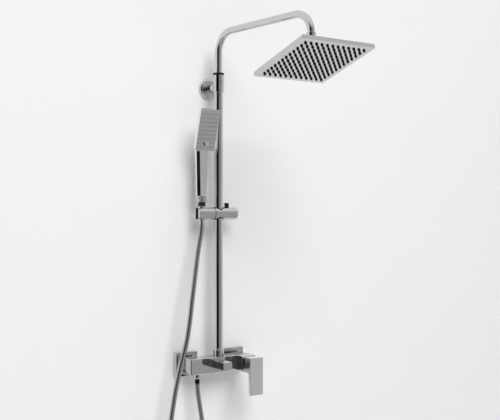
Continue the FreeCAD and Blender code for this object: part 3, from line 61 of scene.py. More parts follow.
# The photograph's width and its camera's focal length and shift, in pixels, the sensor's width in mm,
# and the camera's place in metres and its heading in radians
PHOTO_WIDTH = 500
FOCAL_LENGTH = 858.35
PHOTO_SHIFT = 3.49
SENSOR_WIDTH = 36
CAMERA_PLACE = (-1.2132, -2.0904, 0.4139)
CAMERA_HEADING = -0.575

# The hose's route from the hand shower's nut to the mixer's outlet: x, out from the wall and z, in mm
HOSE_ROUTE = [
    (-53, 58.7, 395),
    (-53, 58.7, 369),
    (-66.5, 62.5, 314.8),
    (-80.5, 71, 248.1),
    (-94.5, 79.5, 182.1),
    (-104, 82, 116.9),
    (-113.5, 81, 64),
    (-129, 79, 9.9),
    (-142, 74.5, -55),
    (-151, 70, -120),
    (-158, 65, -190),
    (-166, 60, -265),
    (-173, 57, -345),
    (-178, 57, -428),
    (-130, 57, -476),
    (-62, 56.5, -476),
    (-14, 56, -428),
    (-22, 56, -330),
    (-36, 56, -235),
    (-50, 56, -155),
    (-58.5, 55.5, -104),
    (-65, 55, -65),
    (-65, 55, -35),
]
# The hose's diameter over its band and in the groove between two turns, and the pitch, in metres
HOSE_DIA = 0.014
HOSE_VALLEY = 0.013
HOSE_PITCH = 0.0052
# Points round the hose, and rings to a turn of its band
HOSE_COLUMNS = 22
HOSE_RINGS_PER_TURN = 10
# Distance over which the hose's direction is read, and from its end to where it is held, in metres
HOSE_REACH = 0.002
# The plain sleeve at the hose's upper end and the bare neck at its lower one, in diameters
HOSE_SLEEVE = 1.6
HOSE_BARE = 0.2
# Where the hose is cut along its length, in metres
HOSE_TOP_END = 0.04
HOSE_NECK_END = 0.146

# The rain head: its ball's centre in metres and its tilt, which give its frame, and in that frame, in
# mm, the height of its face, its nozzles in a row, and how far the outer ones lie from the middle
BALL = Vector((0.05385, -0.4106, 0.8187))
HEAD_TILT = math.radians(-15.9)
HEAD_FACE = -38.0
NOZZLES = 12
NOZZLE_REACH = 87.5

# The hand shower: the foot of its face in metres and its tilt, which give its frame, and in that
# frame, in mm, its jets in columns and rows, and its selector with the grip
HAND_FOOT = Vector((-0.053, -0.075, 0.58304))
HAND_TILT = math.radians(17)
JET_COLUMNS = 7
JET_ROWS = 9
JET_PITCH = 8
JET_ROW_PITCH = 11.3
JET_ROW_START = 10.8
ROWS_BESIDE_SELECTOR = 2
SELECTOR_PLACE = (0, 19, 0)
SELECTOR_SIZE = (17, 11)
GRIP_PLACE = (-4.2, 19, 0)
GRIP_SIZE = (5.4, 6.6)

# Upright axes of the riser, the holder and the slider's button: x and y in mm
RISER_AXIS = (0, -58.7)
HOLDER_AXIS = (-53, -58.7)
BUTTON_AXIS = (26, -58.7)

# Edges between chrome and black painted shade, from where it is chrome to where it is black, in metres:
# the opening, back and side of the holder's slot, along x and out from its middle, and the nut's sunk
# neck along z
SLOT_OPENING = (-0.0675, -0.0671)
SLOT_BACK = (-0.0528, -0.0532)
SLOT_SIDE = (0.0078, 0.0076)
NECK_FOOT = (0.4331, 0.4333)
NECK_TOP = (0.4449, 0.4447)

# Points round a corner and across a groove, and the height over which a groove runs out, in mm
CORNER_STEPS = 8
GROOVE_STEPS = 8
GROOVE_END = 0.8

# The stage's wall and floor: their size and places in metres, their greys and the ways they face
STAGE_SIZE = (9, 6)
WALL_PLACE = (0, 0.0005, 1.2)
WALL_GREY = 0.9
OUT_FROM_WALL = (0, -1, 0)
FLOOR_PLACE = (0, -2.9, -0.62)
FLOOR_GREY = 0.85
UP = (0, 0, 1)

# The even light on matt surfaces, and the lamp in front of the wall, in metres and watts
EVEN_LIGHT = 0.2
LAMP_SIZE = 4.4
LAMP_POWER = 495
LAMP_PLACE = (-0.7, -6.3, 5.35)
LAMP_TARGET = (0, 0, 0.35)

# What bright metal mirrors round the room: from and to which angle, in degrees to the right of straight
# out from the wall, the brightness goes up by a step
ROOM_STEPS = [(-74, -84, 0.9), (-38, -8, 0.3), (8, 58, 0.32), (55, 95, 0.3)]
# What it mirrors below and overhead: from and to which z of the direction it sets in, and its level
BELOW = (-0.2, -0.6, 0.45)
OVERHEAD = (0.4, 0.8, 0.9)
# The room's brightness where the camera sees past the stage
SEEN_LEVEL = 0.85


def make_camera():
    """The photograph's view: level, 33 degrees to the left of square on to the wall."""
    data = bpy.data.cameras.new("camera")
    data.sensor_width = SENSOR_WIDTH
    data.lens = SENSOR_WIDTH * FOCAL_LENGTH / PHOTO_WIDTH
    data.shift_y = PHOTO_SHIFT / PHOTO_WIDTH
    camera = bpy.data.objects.new("camera", data)
    camera.location = CAMERA_PLACE
    camera.rotation_euler = (math.radians(90), 0, CAMERA_HEADING)
    scene.collection.objects.link(camera)
    scene.camera = camera


def add_mesh(name, points, faces, smooth=True):
    """A new mesh object from arrays of points and lists of faces."""
    mesh = bpy.data.meshes.new(name)
    mesh.from_pydata(np.asarray(points, float).tolist(), [], faces)
    mesh.polygons.foreach_set("use_smooth", np.full(len(mesh.polygons), smooth))
    mesh.validate()
    made = bpy.data.objects.new(name, mesh)
    scene.collection.objects.link(made)
    return made


def grid_faces(rows, columns):
    """Quads of a grid of points, rows by columns, whose last column joins the first."""
    r, c = np.meshgrid(np.arange(rows - 1), np.arange(columns), indexing="ij")
    here = r * columns
    above = here + columns
    right = (c + 1) % columns
    return np.stack([here + c, here + right, above + right, above + c], -1).reshape(-1, 4)


def closed_skin(rings):
    """Points, quads and end triangles over closed rings that go round anticlockwise and upwards."""
    rows, columns = rings.shape[:2]
    points = np.concatenate([rings.reshape(-1, 3), [rings[0].mean(0), rings[-1].mean(0)]])
    ring = np.arange(columns)
    after = (ring + 1) % columns
    last = (rows - 1) * columns
    foot = np.stack([np.full(columns, rows * columns), after, ring], -1)
    top = np.stack([np.full(columns, rows * columns + 1), last + ring, last + after], -1)
    return points, grid_faces(rows, columns), np.concatenate([foot, top])


def copies(name, rings, places, matrix):
    """Equal closed skins at several places of a frame, in one mesh. Rings and places are in mm."""
    points, quads, ends = closed_skin(rings)
    places = np.asarray(places, float).reshape(-1, 3)
    step = len(points) * np.arange(len(places))[:, None, None]
    spots = (points[None] + places[:, None]).reshape(-1, 3) * MM
    turned = spots @ np.array(matrix.to_3x3()).T + np.array(matrix.translation)
    sides = (quads[None] + step).reshape(-1, 4).tolist()
    caps = (ends[None] + step).reshape(-1, 3).tolist()
    return add_mesh(name, turned, sides + caps)


def turned_rings(profile, columns):
    """A profile of radius and height carried round the upright axis."""
    radius, height = np.asarray(profile, float).T
    turn = np.arange(columns) * TURN / columns
    x = radius[:, None] * np.cos(turn)
    y = radius[:, None] * np.sin(turn)
    return np.stack([x, y, np.broadcast_to(height[:, None], x.shape)], -1)


def grooved_rings(profile, ridges, low, high, depth, lean):
    """A turned profile with grooves round its grip, between two heights. Their shape is a cosine of the
    turn and the height, brought to lie from 0 to 1, squared, times the depth. Lean is how many grooves
    each one moves on by over a millimetre of height."""
    profile = np.asarray(profile, float)
    columns = ridges * GROOVE_STEPS
    rings = turned_rings(profile, columns)
    turn = np.arange(columns) / GROOVE_STEPS
    height = rings[..., 2]
    slant = turn[None] + (height - low) * lean
    fade_in = np.clip((height - low) / GROOVE_END, 0, 1)
    fade_out = np.clip((high - height) / GROOVE_END, 0, 1)
    groove = depth * (0.5 + 0.5 * np.cos(TURN * slant)) ** 2 * fade_in * fade_out
    rings[..., :2] *= (1 - groove / np.maximum(profile[:, :1], 1))[..., None]
    return rings


def rounded_outline(width, depth, corner):
    """A rectangle whose corners are quarter circles, anticlockwise from the right."""
    turn = np.linspace(0, TURN / 4, CORNER_STEPS)
    quarter = np.arange(4)[:, None] * TURN / 4
    x = np.cos(turn + quarter) * corner
    y = np.sin(turn + quarter) * corner
    x += np.array([1, -1, -1, 1])[:, None] * (width / 2 - corner)
    y += np.array([1, 1, -1, -1])[:, None] * (depth / 2 - corner)
    return np.stack([x.ravel(), y.ravel()], -1)


def stacked_rings(width, depth, corner, levels):
    """Rounded rectangles above each other, each drawn in by the inset of its level."""
    sharpest = 0.2
    rings = []
    for inset, height in levels:
        rounding = max(corner - inset, sharpest)
        outline = rounded_outline(width - 2 * inset, depth - 2 * inset, rounding)
        rings.append(np.column_stack([outline, np.full(len(outline), height)]))
    return np.array(rings)


def fit(piece, body, slot, *nodes):
    """Let a piece ride on a body, in the place of CAD nodes. The slot is not used."""
    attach(piece, body)
    if nodes:
        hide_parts(*nodes)
    return piece


def hose_line():
    """Close points along the smooth curve of the hose's route, and their distances along it."""
    curve = bpy.data.curves.new("route", "CURVE")
    curve.dimensions = "3D"
    curve.resolution_u = 60
    spline = curve.splines.new("NURBS")
    spline.points.add(len(HOSE_ROUTE) - 1)
    for point, (x, out, z) in zip(spline.points, HOSE_ROUTE):
        point.co = (x * MM, -out * MM, z * MM, 1)
    spline.order_u = 3
    spline.use_endpoint_u = True
    holder = bpy.data.objects.new("route", curve)
    scene.collection.objects.link(holder)
    mesh = bpy.data.meshes.new_from_object(holder)
    points = np.array([v.co for v in mesh.vertices])
    bpy.data.objects.remove(holder)
    bpy.data.meshes.remove(mesh)
    steps = np.linalg.norm(np.diff(points, axis=0), axis=1)
    return points, np.concatenate([[0], np.cumsum(steps)])


def along_line(s, points, along):
    """The points at distances along a line."""
    return np.stack([np.interp(s, along, points[:, k]) for k in range(3)], -1)


def hose_stretch(name, start, stop, points, along):
    """A stretch of wound tube, and its rings' centres. The rings stand square to the line. Over each
    turn of the band their radius swells by 1 - |2p - 1|^4, with p the share of the turn, and it falls
    in the groove between two turns. At the hose's upper end the band is plain, and at its lower end it
    thins out."""
    total = along[-1]
    s = np.linspace(start, stop, int((stop - start) / HOSE_PITCH * HOSE_RINGS_PER_TURN) + 2)
    centre = along_line(s, points, along)
    way = along_line(np.minimum(s + HOSE_REACH, total), points, along)
    way -= along_line(np.maximum(s - HOSE_REACH, 0), points, along)
    way /= np.linalg.norm(way, axis=1, keepdims=True)
    side = np.array([0, 1, 0]) - way * way[:, 1:2]
    side /= np.linalg.norm(side, axis=1, keepdims=True)
    other = np.cross(way, side)
    turn = np.arange(HOSE_COLUMNS) * TURN / HOSE_COLUMNS
    phase = (s[:, None] / HOSE_PITCH - turn / TURN) % 1
    band = 1 - np.abs(2 * phase - 1) ** 4
    band = np.maximum(band, np.clip(HOSE_SLEEVE - s[:, None] / HOSE_DIA, 0, 1))
    band *= np.clip((total - s[:, None]) / HOSE_DIA - HOSE_BARE, 0, 1)
    radius = (HOSE_VALLEY + (HOSE_DIA - HOSE_VALLEY) * band) / 2
    ring = side[:, None] * np.cos(turn)[:, None] + other[:, None] * np.sin(turn)[:, None]
    spots = (centre[:, None] + ring * radius[..., None]).reshape(-1, 3)
    tube = add_mesh(name, spots, grid_faces(len(s), HOSE_COLUMNS).tolist())
    attribute = tube.data.attributes.new("band", "FLOAT", "POINT")
    attribute.data.foreach_set("value", band.reshape(-1).astype(np.float32))
    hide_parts("shower_hose")
    return tube, centre


def make_hose():
    """The hose in four stretches: the top, the neck, the left side of the loop down to its lowest
    point, and the right side, which stays with the mixer."""
    points, along = hose_line()
    bottom = along[np.argmin(points[:, 2])]
    cuts = [0, HOSE_TOP_END, HOSE_NECK_END, bottom, along[-1]]
    names = ["hose_top", "hose_neck", "hose_left", "hose_right"]
    made = [hose_stretch(n, a, b, points, along) for n, a, b in zip(names, cuts, cuts[1:])]
    (top, _), (neck, _), (left, left_line), (right, right_line) = made
    held = np.array([HOSE_REACH, HOSE_TOP_END, HOSE_NECK_END])
    at_foot, at_top, at_neck = along_line(held, points, along)
    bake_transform(top)
    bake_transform(neck)
    lowest = at_neck.copy()
    lowest[2] = points[:, 2].min()
    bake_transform(left)
    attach(right, "base")
    return [tube for tube, _ in made]


def head_frame():
    """The rain head's own tilted frame round its ball."""
    return Matrix.Translation(BALL) @ Matrix.Rotation(HEAD_TILT, 4, "X")


def hand_frame():
    """The frame of the hand shower's face, with its own Z out of the face and its Y up along it."""
    tilted = Matrix.Translation(HAND_FOOT) @ Matrix.Rotation(HAND_TILT, 4, "X")
    return tilted @ Matrix.Rotation(math.radians(90), 4, "X")


def upright_frame():
    """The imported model's own frame."""
    return Matrix.Identity(4)


def rain_nozzles():
    """Soft nozzles through the plate: a stub turned about its axis, with a small dimple for the jet."""
    dimple = [(0.5, -2.6), (0.7, -3.6), (1.5, -4.0)]
    wall = [(2.4, -3.9), (3.0, -3.1), (3.6, 0.1), (3.6, 1.2)]
    row = np.linspace(-NOZZLE_REACH, NOZZLE_REACH, NOZZLES)
    x, y = np.meshgrid(row, row)
    places = np.stack([x, y, np.full(x.shape, HEAD_FACE)], -1)
    rings = turned_rings(dimple + wall, columns=10)
    made = copies("rain_nozzles", rings, places, head_frame())
    return fit(made, "rain_head", "black_rubber", "head_nozzles")


def hand_jets():
    """The hand shower's jets: low domes with a dimple, in rows over the face and beside the selector.
    Each is a profile turned about its axis and drawn out along the face to an oval."""
    dome = [(1.6, -0.8), (1.6, 0.25), (1.35, 0.65), (0.8, 0.8)]
    dimple = [(0.45, 0.7), (0.3, 0.25)]
    oval = (1, 1.6, 1)
    rings = turned_rings(dome + dimple, columns=10) * oval
    columns = (np.arange(JET_COLUMNS) - JET_COLUMNS // 2) * JET_PITCH
    rows = JET_ROW_START + np.arange(JET_ROWS) * JET_ROW_PITCH
    outer_columns = columns[[0, 1, -2, -1]]
    x, y = np.meshgrid(columns, rows[ROWS_BESIDE_SELECTOR:])
    beside_x, beside_y = np.meshgrid(outer_columns, rows[:ROWS_BESIDE_SELECTOR])
    places = np.column_stack([
        np.concatenate([x.ravel(), beside_x.ravel()]),
        np.concatenate([y.ravel(), beside_y.ravel()]),
        np.zeros(x.size + beside_x.size),
    ])
    made = copies("hand_jets", rings, places, hand_frame())
    return fit(made, "handset", "black_rubber", "handset_nozzles")


def selector():
    """The spray selector: a rim that fills its window, an oval plate with a crowned edge on it, and a
    dark grip that stands on the plate's left half. Each is a stack of rounded rectangles."""
    edge = [(0, -3), (0, -0.4), (0.4, 0)]
    rim_rings = stacked_rings(*SELECTOR_SIZE, corner=0.8, levels=edge)
    rim = copies("selector_rim", rim_rings, SELECTOR_PLACE, hand_frame())
    fit(rim, "selector", "chrome_plastic", "selector_button")
    crown = [(0, -0.2), (0, 0.6), (0.25, 1.1), (0.8, 1.4), (1.6, 1.5)]
    plate_rings = stacked_rings(*SELECTOR_SIZE, corner=5.4, levels=crown)
    plate = copies("selector_plate", plate_rings, SELECTOR_PLACE, hand_frame())
    fit(plate, "selector", "chrome_plastic", "selector_button")
    lens = [(0, 1.2), (0.1, 1.7), (0.5, 2.0), (1.2, 2.1)]
    grip_rings = stacked_rings(*GRIP_SIZE, corner=2.6, levels=lens)
    grip = copies("selector_grip", grip_rings, GRIP_PLACE, hand_frame())
    fit(grip, "selector", "black_plastic")
    return rim, plate, grip


def cone_nut():
    """The nut under the hand shower: a cone for the holder, a neck and a grip with slanting grooves."""
    low, high = 447.2, 460.6
    cone = [(8.6, 395), (9.3, 395.3), (9.4, 396), (11.08, 432.6), (10.9, 433)]
    neck = [(10.4, 433.3), (10.4, 444.6), (12.8, 445), (13.7, 445.6), (14, 446.6)]
    grip = [(14, z) for z in np.linspace(low, high, 24)]
    top = [(13.9, 461.2), (13.5, 461.8), (12.6, 462)]
    profile = cone + neck + grip + top
    rings = grooved_rings(profile, ridges=26, low=low, high=high, depth=0.6, lean=1 / 7)
    made = copies("cone_nut", rings, (*HOLDER_AXIS, 0), upright_frame())
    return fit(made, "handset", "chrome", "hose_cone_nut")


def riser_nut():
    """The nut at the riser's foot: a closed ring round the tube, with upright grooves in its grip."""
    low, high = 23.4, 38.4
    foot = [(12.54, 21.2), (14.7, 21.2), (15.2, 21.4), (15.5, 22)]
    grip = [(15.5, z) for z in np.linspace(low, high, 20)]
    shoulder = [(15.5, 39.4), (15.3, 39.8), (14.6, 40.1), (14.5, 40.6)]
    top = [(14.5, 42.2), (14.2, 42.8), (13.6, 43), (12.54, 43)]
    profile = foot + grip + shoulder + top
    rings = grooved_rings(profile, ridges=28, low=low, high=high, depth=0.16, lean=0)
    rows, columns = rings.shape[:2]
    spots = (rings.reshape(-1, 3) + (*RISER_AXIS, 0)) * MM
    faces = grid_faces(rows + 1, columns) % len(spots)
    made = add_mesh("riser_grip_nut", spots, faces.tolist())
    return fit(made, "base", "chrome", "riser_nut")


def brake_button():
    """The slider's button: a rounded block with three grooves round it and a softened top."""
    side = 10
    groove = 0.45
    levels = [(0, 426)]
    for height in (433, 436, 439):
        levels += [(0, height), (groove, height + 0.25), (groove, height + 0.75), (0, height + 1)]
    levels += [(0, 441.8), (0.25, 442.5), (0.8, 442.9), (1.6, 443)]
    rings = stacked_rings(side, side, corner=1.6, levels=levels)
    made = copies("brake_button", rings, (*BUTTON_AXIS, 0), upright_frame())
    return fit(made, "button", "black_plastic", "slider_button")


class Value:
    """A value in a node tree; sums, differences and products of values make its math nodes."""

    def __init__(self, tree, socket):
        self.tree = tree
        self.socket = socket

    def math(self, operation, *terms):
        """The result of a Math node on values or plain numbers."""
        node = self.tree.nodes.new("ShaderNodeMath")
        node.operation = operation
        for slot, value in zip(node.inputs, terms):
            put(self.tree, slot, value)
        return Value(self.tree, node.outputs[0])

    def __add__(self, other):
        return self.math("ADD", self, other)

    def __radd__(self, other):
        return self.math("ADD", other, self)

    def __sub__(self, other):
        return self.math("SUBTRACT", self, other)

    def __rsub__(self, other):
        return self.math("SUBTRACT", other, self)

    def __mul__(self, other):
        return self.math("MULTIPLY", self, other)

    def __rmul__(self, other):
        return self.math("MULTIPLY", other, self)

    def __abs__(self):
        return self.math("ABSOLUTE", self)

    def output(self, name):
        """Another output of the same node."""
        return Value(self.tree, self.socket.node.outputs[name])


def put(tree, slot, value):
    """Link a value to a socket, or set it where it is plain."""
    if isinstance(value, Value):
        tree.links.new(value.socket, slot)
    else:
        slot.default_value = value


class Nodes:
    """A tree whose nodes are made from a type, settings and inputs."""

    def __init__(self, tree):
        self.tree = tree

    def node(self, kind, settings=None, output=0, **inputs):
        """An output of a new node, whose inputs are set or linked by name after its settings."""
        made = self.tree.nodes.new(kind)
        for key, value in (settings or {}).items():
            setattr(made, key, value)
        for key, value in inputs.items():
            put(self.tree, made.inputs[key.replace("_", " ")], value)
        return Value(self.tree, made.outputs[output])

    def rise(self, value, low, high):
        """Run smoothly from 0 to 1 as the value goes from low to high."""
        smooth = {"interpolation_type": "SMOOTHSTEP"}
        return self.node("ShaderNodeMapRange", smooth, Value=value, From_Min=low, From_Max=high)

    def split(self, vector):
        """The three parts of a vector."""
        x = self.node("ShaderNodeSeparateXYZ", Vector=vector)
        return x, x.output("Y"), x.output("Z")


class Material(Nodes):
    """A material with one Principled shader, whose inputs are set by name."""

    def __init__(self, name):
        self.made = bpy.data.materials.new(name)
        self.made.use_nodes = True
        super().__init__(self.made.node_tree)
        self.shader = self.tree.nodes["Principled BSDF"]
        self.where = self.node("ShaderNodeTexCoord", output="Object")

    def noise(self, scale, detail, stretch=(1, 1, 1)):
        """Noise over the object's own coordinates, drawn out where stretch is below 1."""
        mapping = self.node("ShaderNodeMapping", Vector=self.where, Scale=stretch)
        return self.node("ShaderNodeTexNoise", Vector=mapping, Scale=scale, Detail=detail)

    def blend(self, factor, first, second):
        """A colour between two, by a factor from 0 to 1."""
        made = self.node("ShaderNodeMix", {"data_type": "RGBA"}, output=2).socket.node
        put(self.tree, made.inputs[0], factor)
        for slot, colour in ((made.inputs[6], first), (made.inputs[7], second)):
            put(self.tree, slot, colour if isinstance(colour, Value) else (*colour, 1))
        return Value(self.tree, made.outputs[2])

    def bump(self, height, strength, distance):
        """A normal that follows a height, with its depth in metres."""
        return self.node("ShaderNodeBump", Height=height, Strength=strength, Distance=distance)

    def film(self):
        """Where a trace of dried water dulls metal, in soft patches from 0 to 1."""
        return self.rise(self.noise(scale=9, detail=3), 0.42, 0.72)

    def dulled(self, film, colour):
        """A metal's colour, a little darker under its film."""
        return self.blend(film, colour, shade(colour, 0.94))

    def set(self, **inputs):
        """Set or link the shader's inputs by name."""
        for key, value in inputs.items():
            put(self.tree, self.shader.inputs[key.replace("_", " ")], value)


def shade(colour, share):
    """A colour times a share, darker below 1 and lighter above it."""
    return tuple(share * c for c in colour)


def plated(name, colour, roughness, smear, metal=1.0):
    """Chrome plate: a trace of dried film and fine wipe marks change its gloss, over a faint ripple."""
    material = Material(name)
    film = material.film()
    wipes = material.rise(material.noise(scale=60, detail=4, stretch=(1, 1, 0.12)), 0.45, 0.75)
    ripple = material.noise(scale=30, detail=2)
    material.set(
        Base_Color=material.dulled(film, colour),
        Metallic=metal,
        Roughness=film * smear + wipes * (smear * 0.5) + roughness,
        Normal=material.bump(ripple, strength=0.03, distance=0.0003),
    )
    return material.made


def holder_with_painted_slot_shade(name, colour, roughness, smear):
    """Satin chrome outside, and black painted shade on the walls of the slot in the holder's open end.
    """
    material = Material(name)
    x, y, _ = material.split(material.where)
    black = (0.012, 0.012, 0.013)
    inside = material.rise(x, *SLOT_OPENING) * material.rise(x, *SLOT_BACK)
    # Painted shade: the slot's walls inside the open end get a near-black, non-metal colour where shade
    # falls
    painted_slot_shade = inside * material.rise(abs(y - HOLDER_AXIS[1] * MM), *SLOT_SIDE)
    film = material.film()
    grain = material.noise(scale=900, detail=2)
    material.set(
        Base_Color=material.blend(painted_slot_shade, material.dulled(film, colour), black),
        Metallic=1.0 - painted_slot_shade,
        Roughness=film * smear + painted_slot_shade * 0.2 + roughness,
        Normal=material.bump(grain, strength=0.02, distance=0.0001),
    )
    return material.made


def nut_with_painted_neck_shade(name, colour, roughness, smear):
    """Chrome on the nut's cone and grip, and black painted shade on the sunk neck between them."""
    material = Material(name)
    _, _, z = material.split(material.where)
    black = (0.01, 0.01, 0.011)
    # Painted shade: the sunk neck between cone and grip gets a near-black, non-metal colour
    neck = material.rise(z, *NECK_FOOT) * material.rise(z, *NECK_TOP)
    film = material.film()
    material.set(
        Base_Color=material.blend(neck, material.dulled(film, colour), black),
        Metallic=1.0 - neck,
        Roughness=film * smear + neck * 0.3 + roughness,
    )
    return material.made


def hose_steel(name):
    """Wound steel strip: bright rounded bands, with near-black painted shade in the grooves between
    them.
    """
    material = Material(name)
    band = material.node("ShaderNodeAttribute", {"attribute_name": "band"}, output="Fac")
    # Painted shade: near-black colour in the grooves where the band falls, and on the bare neck at the
    # lower end, where the band is 0
    painted_groove_shade = (0.02, 0.02, 0.021)
    band_steel = (0.58, 0.58, 0.59)
    grain = material.noise(scale=900, detail=2, stretch=(1, 1, 0.2))
    worn = material.rise(material.noise(scale=14, detail=3), 0.4, 0.7)
    bright = material.rise(band, 0.55, 0.85)
    material.set(
        Base_Color=material.blend(bright, painted_groove_shade, band_steel),
        Metallic=1.0,
        Roughness=grain * 0.04 + worn * 0.04 - bright * 0.2 + 0.27,
        Normal=material.bump(grain, strength=0.05, distance=0.0002),
    )
    return material.made


def moulded(name, colour, light, roughness, grain_scale, depth, gloss):
    """Moulded plastic or rubber: a fine even grain, slightly uneven colour and a soft sheen."""
    material = Material(name)
    grain = material.noise(scale=grain_scale, detail=3)
    cloud = material.rise(material.noise(scale=22, detail=3), 0.35, 0.7)
    material.set(
        Base_Color=material.blend(cloud, colour, light),
        Roughness=grain * 0.12 + cloud * 0.06 + roughness,
        Normal=material.bump(grain, strength=0.25, distance=depth),
        Specular_IOR_Level=gloss,
    )
    return material.made


def turned_metal(name, colour, roughness):
    """Machined metal left bare, with fine tool marks and a little staining."""
    material = Material(name)
    marks = material.noise(scale=700, detail=2, stretch=(0.15, 1, 1))
    stain = material.rise(material.noise(scale=35, detail=4), 0.45, 0.75)
    material.set(
        Base_Color=material.blend(stain, colour, shade(colour, 0.72)),
        Metallic=1.0,
        Roughness=marks * 0.14 + stain * 0.1 + roughness,
        Normal=material.bump(marks, strength=0.12, distance=0.0002),
    )
    return material.made


CHROME = (0.62, 0.622, 0.63)
PALE_CHROME = (0.86, 0.86, 0.87)
# Plated finishes: colour, roughness, what film and wiping add to it, and a share of metal below 1
PLATED = {
    "chrome": (CHROME, 0.03, 0.03),
    "chrome_plastic": (CHROME, 0.07, 0.05),
    "body_chrome": ((0.6, 0.6, 0.61), 0.06, 0.04, 0.94),
    "face_plate": (shade(CHROME, 1.05), 0.16, 0.05),
    "handset_chrome": (PALE_CHROME, 0.17, 0.04),
    "lever_chrome": (PALE_CHROME, 0.14, 0.05),
    "satin_chrome": (CHROME, 0.16, 0.05),
    "head_plate": (shade(CHROME, 0.95), 0.06, 0.03),
}
# Bare metals: colour and roughness
TURNED = {
    "steel": ((0.6, 0.6, 0.61), 0.22),
    "brass": ((0.78, 0.6, 0.28), 0.2),
}
# Moulded finishes: colour, its lighter patches, roughness, the grain's scale and depth, and gloss
MOULDED = {
    "ceramic": ((0.86, 0.85, 0.81), (0.92, 0.91, 0.88), 0.2, 500, 0.00004, 0.45),
    "white_plastic": ((0.8, 0.8, 0.78), (0.88, 0.88, 0.86), 0.38, 900, 0.00005, 0.45),
    "black_plastic": ((0.006, 0.006, 0.007), (0.012, 0.012, 0.013), 0.4, 1200, 0.00006, 0.2),
    "black_rubber": ((0.003, 0.003, 0.003), (0.007, 0.007, 0.007), 0.55, 1500, 0.00008, 0.12),
    "grey_rubber": ((0.2, 0.2, 0.205), (0.25, 0.25, 0.255), 0.5, 1500, 0.00008, 0.3),
}
# CAD nodes that look different from the rest of their finish in the record
NODE_FINISHES = {
    "mixer_body": "body_chrome",
    "lever_handle": "lever_chrome",
    "handset_shell": "handset_chrome",
    "handset_face": "face_plate",
    "slider_body": "satin_chrome",
    "holder_cup": "holder_with_painted_slot_shade",
    "head_cover": "head_plate",
    "head_face": "head_plate",
    # Brass that is plated where it shows
    "eccentric_unions": "chrome",
    "inlet_tailpieces": "chrome",
    "cartridge_nut": "chrome",
    "diverter_gland": "chrome",
    "diverter_spindle": "chrome",
    "outlet_nipple": "chrome",
}


def make_finishes():
    """All the materials of the object, by name."""
    made = {name: plated(name, *row) for name, row in PLATED.items()}
    made.update({name: turned_metal(name, *row) for name, row in TURNED.items()})
    made.update({name: moulded(name, *row) for name, row in MOULDED.items()})
    made["holder_with_painted_slot_shade"] = holder_with_painted_slot_shade("holder_with_painted_slot_shade", CHROME, roughness=0.16, smear=0.05)
    made["nut_with_painted_neck_shade"] = nut_with_painted_neck_shade("nut_with_painted_neck_shade", CHROME, roughness=0.05, smear=0.03)
    made["hose_steel"] = hose_steel("hose_steel")
    return made


def paint(pieces):
    """Give every CAD node and every piece of the scene its material."""
    finishes = make_finishes()
    for row in frame["record"]["subparts"]:
        node = frame["nodes"][row["node"]]
        finish = NODE_FINISHES.get(row["node"], row["material_slot"])
        node.data.materials.clear()
        node.data.materials.append(finishes[finish])
    for piece, finish in pieces.items():
        piece.data.materials.append(finishes[finish])


def card(name, place, facing, material):
    """A flat stage surface that faces one way."""
    corners = [(-0.5, -0.5, 0), (0.5, -0.5, 0), (0.5, 0.5, 0), (-0.5, 0.5, 0)]
    made = add_mesh(name, corners, [(0, 1, 2, 3)], smooth=False)
    made.scale = (*STAGE_SIZE, 1)
    made.location = place
    made.rotation_euler = Vector(facing).to_track_quat("Z", "Y").to_euler()
    made.data.materials.append(material)
    return made


def stage_paint(name, grey):
    """Matt pale paint with a fine roller texture. It shows from the front only, so that the back of the
    shower can be looked at through the wall."""
    material = Material(name)
    speck = material.noise(scale=300, detail=3)
    material.set(
        Base_Color=(grey, grey, grey, 1),
        Roughness=0.85,
        Normal=material.bump(speck, strength=0.02, distance=0.0005),
    )
    behind = material.node("ShaderNodeNewGeometry", output="Backfacing")
    one_sided = material.node("ShaderNodeMixShader", Fac=behind)
    sides = one_sided.socket.node.inputs
    put(material.tree, sides[1], Value(material.tree, material.shader.outputs[0]))
    put(material.tree, sides[2], material.node("ShaderNodeBsdfTransparent"))
    put(material.tree, material.tree.nodes["Material Output"].inputs["Surface"], one_sided)
    return material.made


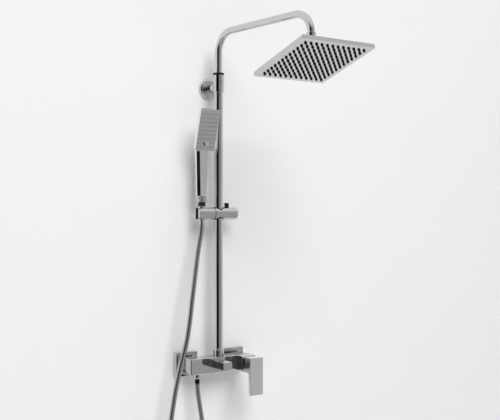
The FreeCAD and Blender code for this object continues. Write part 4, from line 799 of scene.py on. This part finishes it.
def room_light():
    """Even light for matt surfaces. What bright metal mirrors changes round the room: black from the
    camera to the left, dim in front, lighter to the right, and light at the wall and overhead."""
    world = bpy.data.worlds.new("room")
    world.use_nodes = True
    scene.world = world
    nodes = Nodes(world.node_tree)
    x, y, z = nodes.split(nodes.node("ShaderNodeTexCoord", output="Generated"))
    angle = x.math("ARCTAN2", x, y * -1.0)
    level = 0.0
    for low, high, step in ROOM_STEPS:
        level = nodes.rise(angle, math.radians(low), math.radians(high)) * step + level
    for low, high, other in (BELOW, OVERHEAD):
        level = level + nodes.rise(z, low, high) * (other - level)
    glossy = nodes.node("ShaderNodeLightPath", output="Is Glossy Ray")
    seen = nodes.node("ShaderNodeLightPath", output="Is Camera Ray")
    strength = EVEN_LIGHT + glossy * (level - EVEN_LIGHT) + seen * (SEEN_LEVEL - EVEN_LIGHT)
    background = world.node_tree.nodes["Background"]
    background.inputs["Color"].default_value = (1, 1, 1, 1)
    put(world.node_tree, background.inputs["Strength"], strength)


def set_stage():
    """A pale wall and floor and a soft lamp in front. Of these only the wall shows in the metal."""
    card("wall", WALL_PLACE, OUT_FROM_WALL, stage_paint("wall_paint", WALL_GREY))
    floor = card("floor", FLOOR_PLACE, UP, stage_paint("floor_paint", FLOOR_GREY))
    floor.visible_glossy = False
    room_light()
    data = bpy.data.lights.new("key", "AREA")
    data.size = LAMP_SIZE
    data.energy = LAMP_POWER
    lamp = bpy.data.objects.new("key", data)
    lamp.location = LAMP_PLACE
    shine = Vector(LAMP_TARGET) - Vector(LAMP_PLACE)
    lamp.rotation_euler = shine.to_track_quat("-Z", "Y").to_euler()
    lamp.visible_glossy = False
    scene.collection.objects.link(lamp)


make_camera()
pieces = {tube: "hose_steel" for tube in make_hose()}
pieces[rain_nozzles()] = "black_rubber"
pieces[hand_jets()] = "grey_rubber"
rim, plate, grip = selector()
pieces[rim] = "face_plate"
pieces[plate] = "handset_chrome"
pieces[grip] = "black_plastic"
pieces[cone_nut()] = "nut_with_painted_neck_shade"
pieces[brake_button()] = "black_plastic"
pieces[riser_nut()] = "chrome"
paint(pieces)
set_stage()
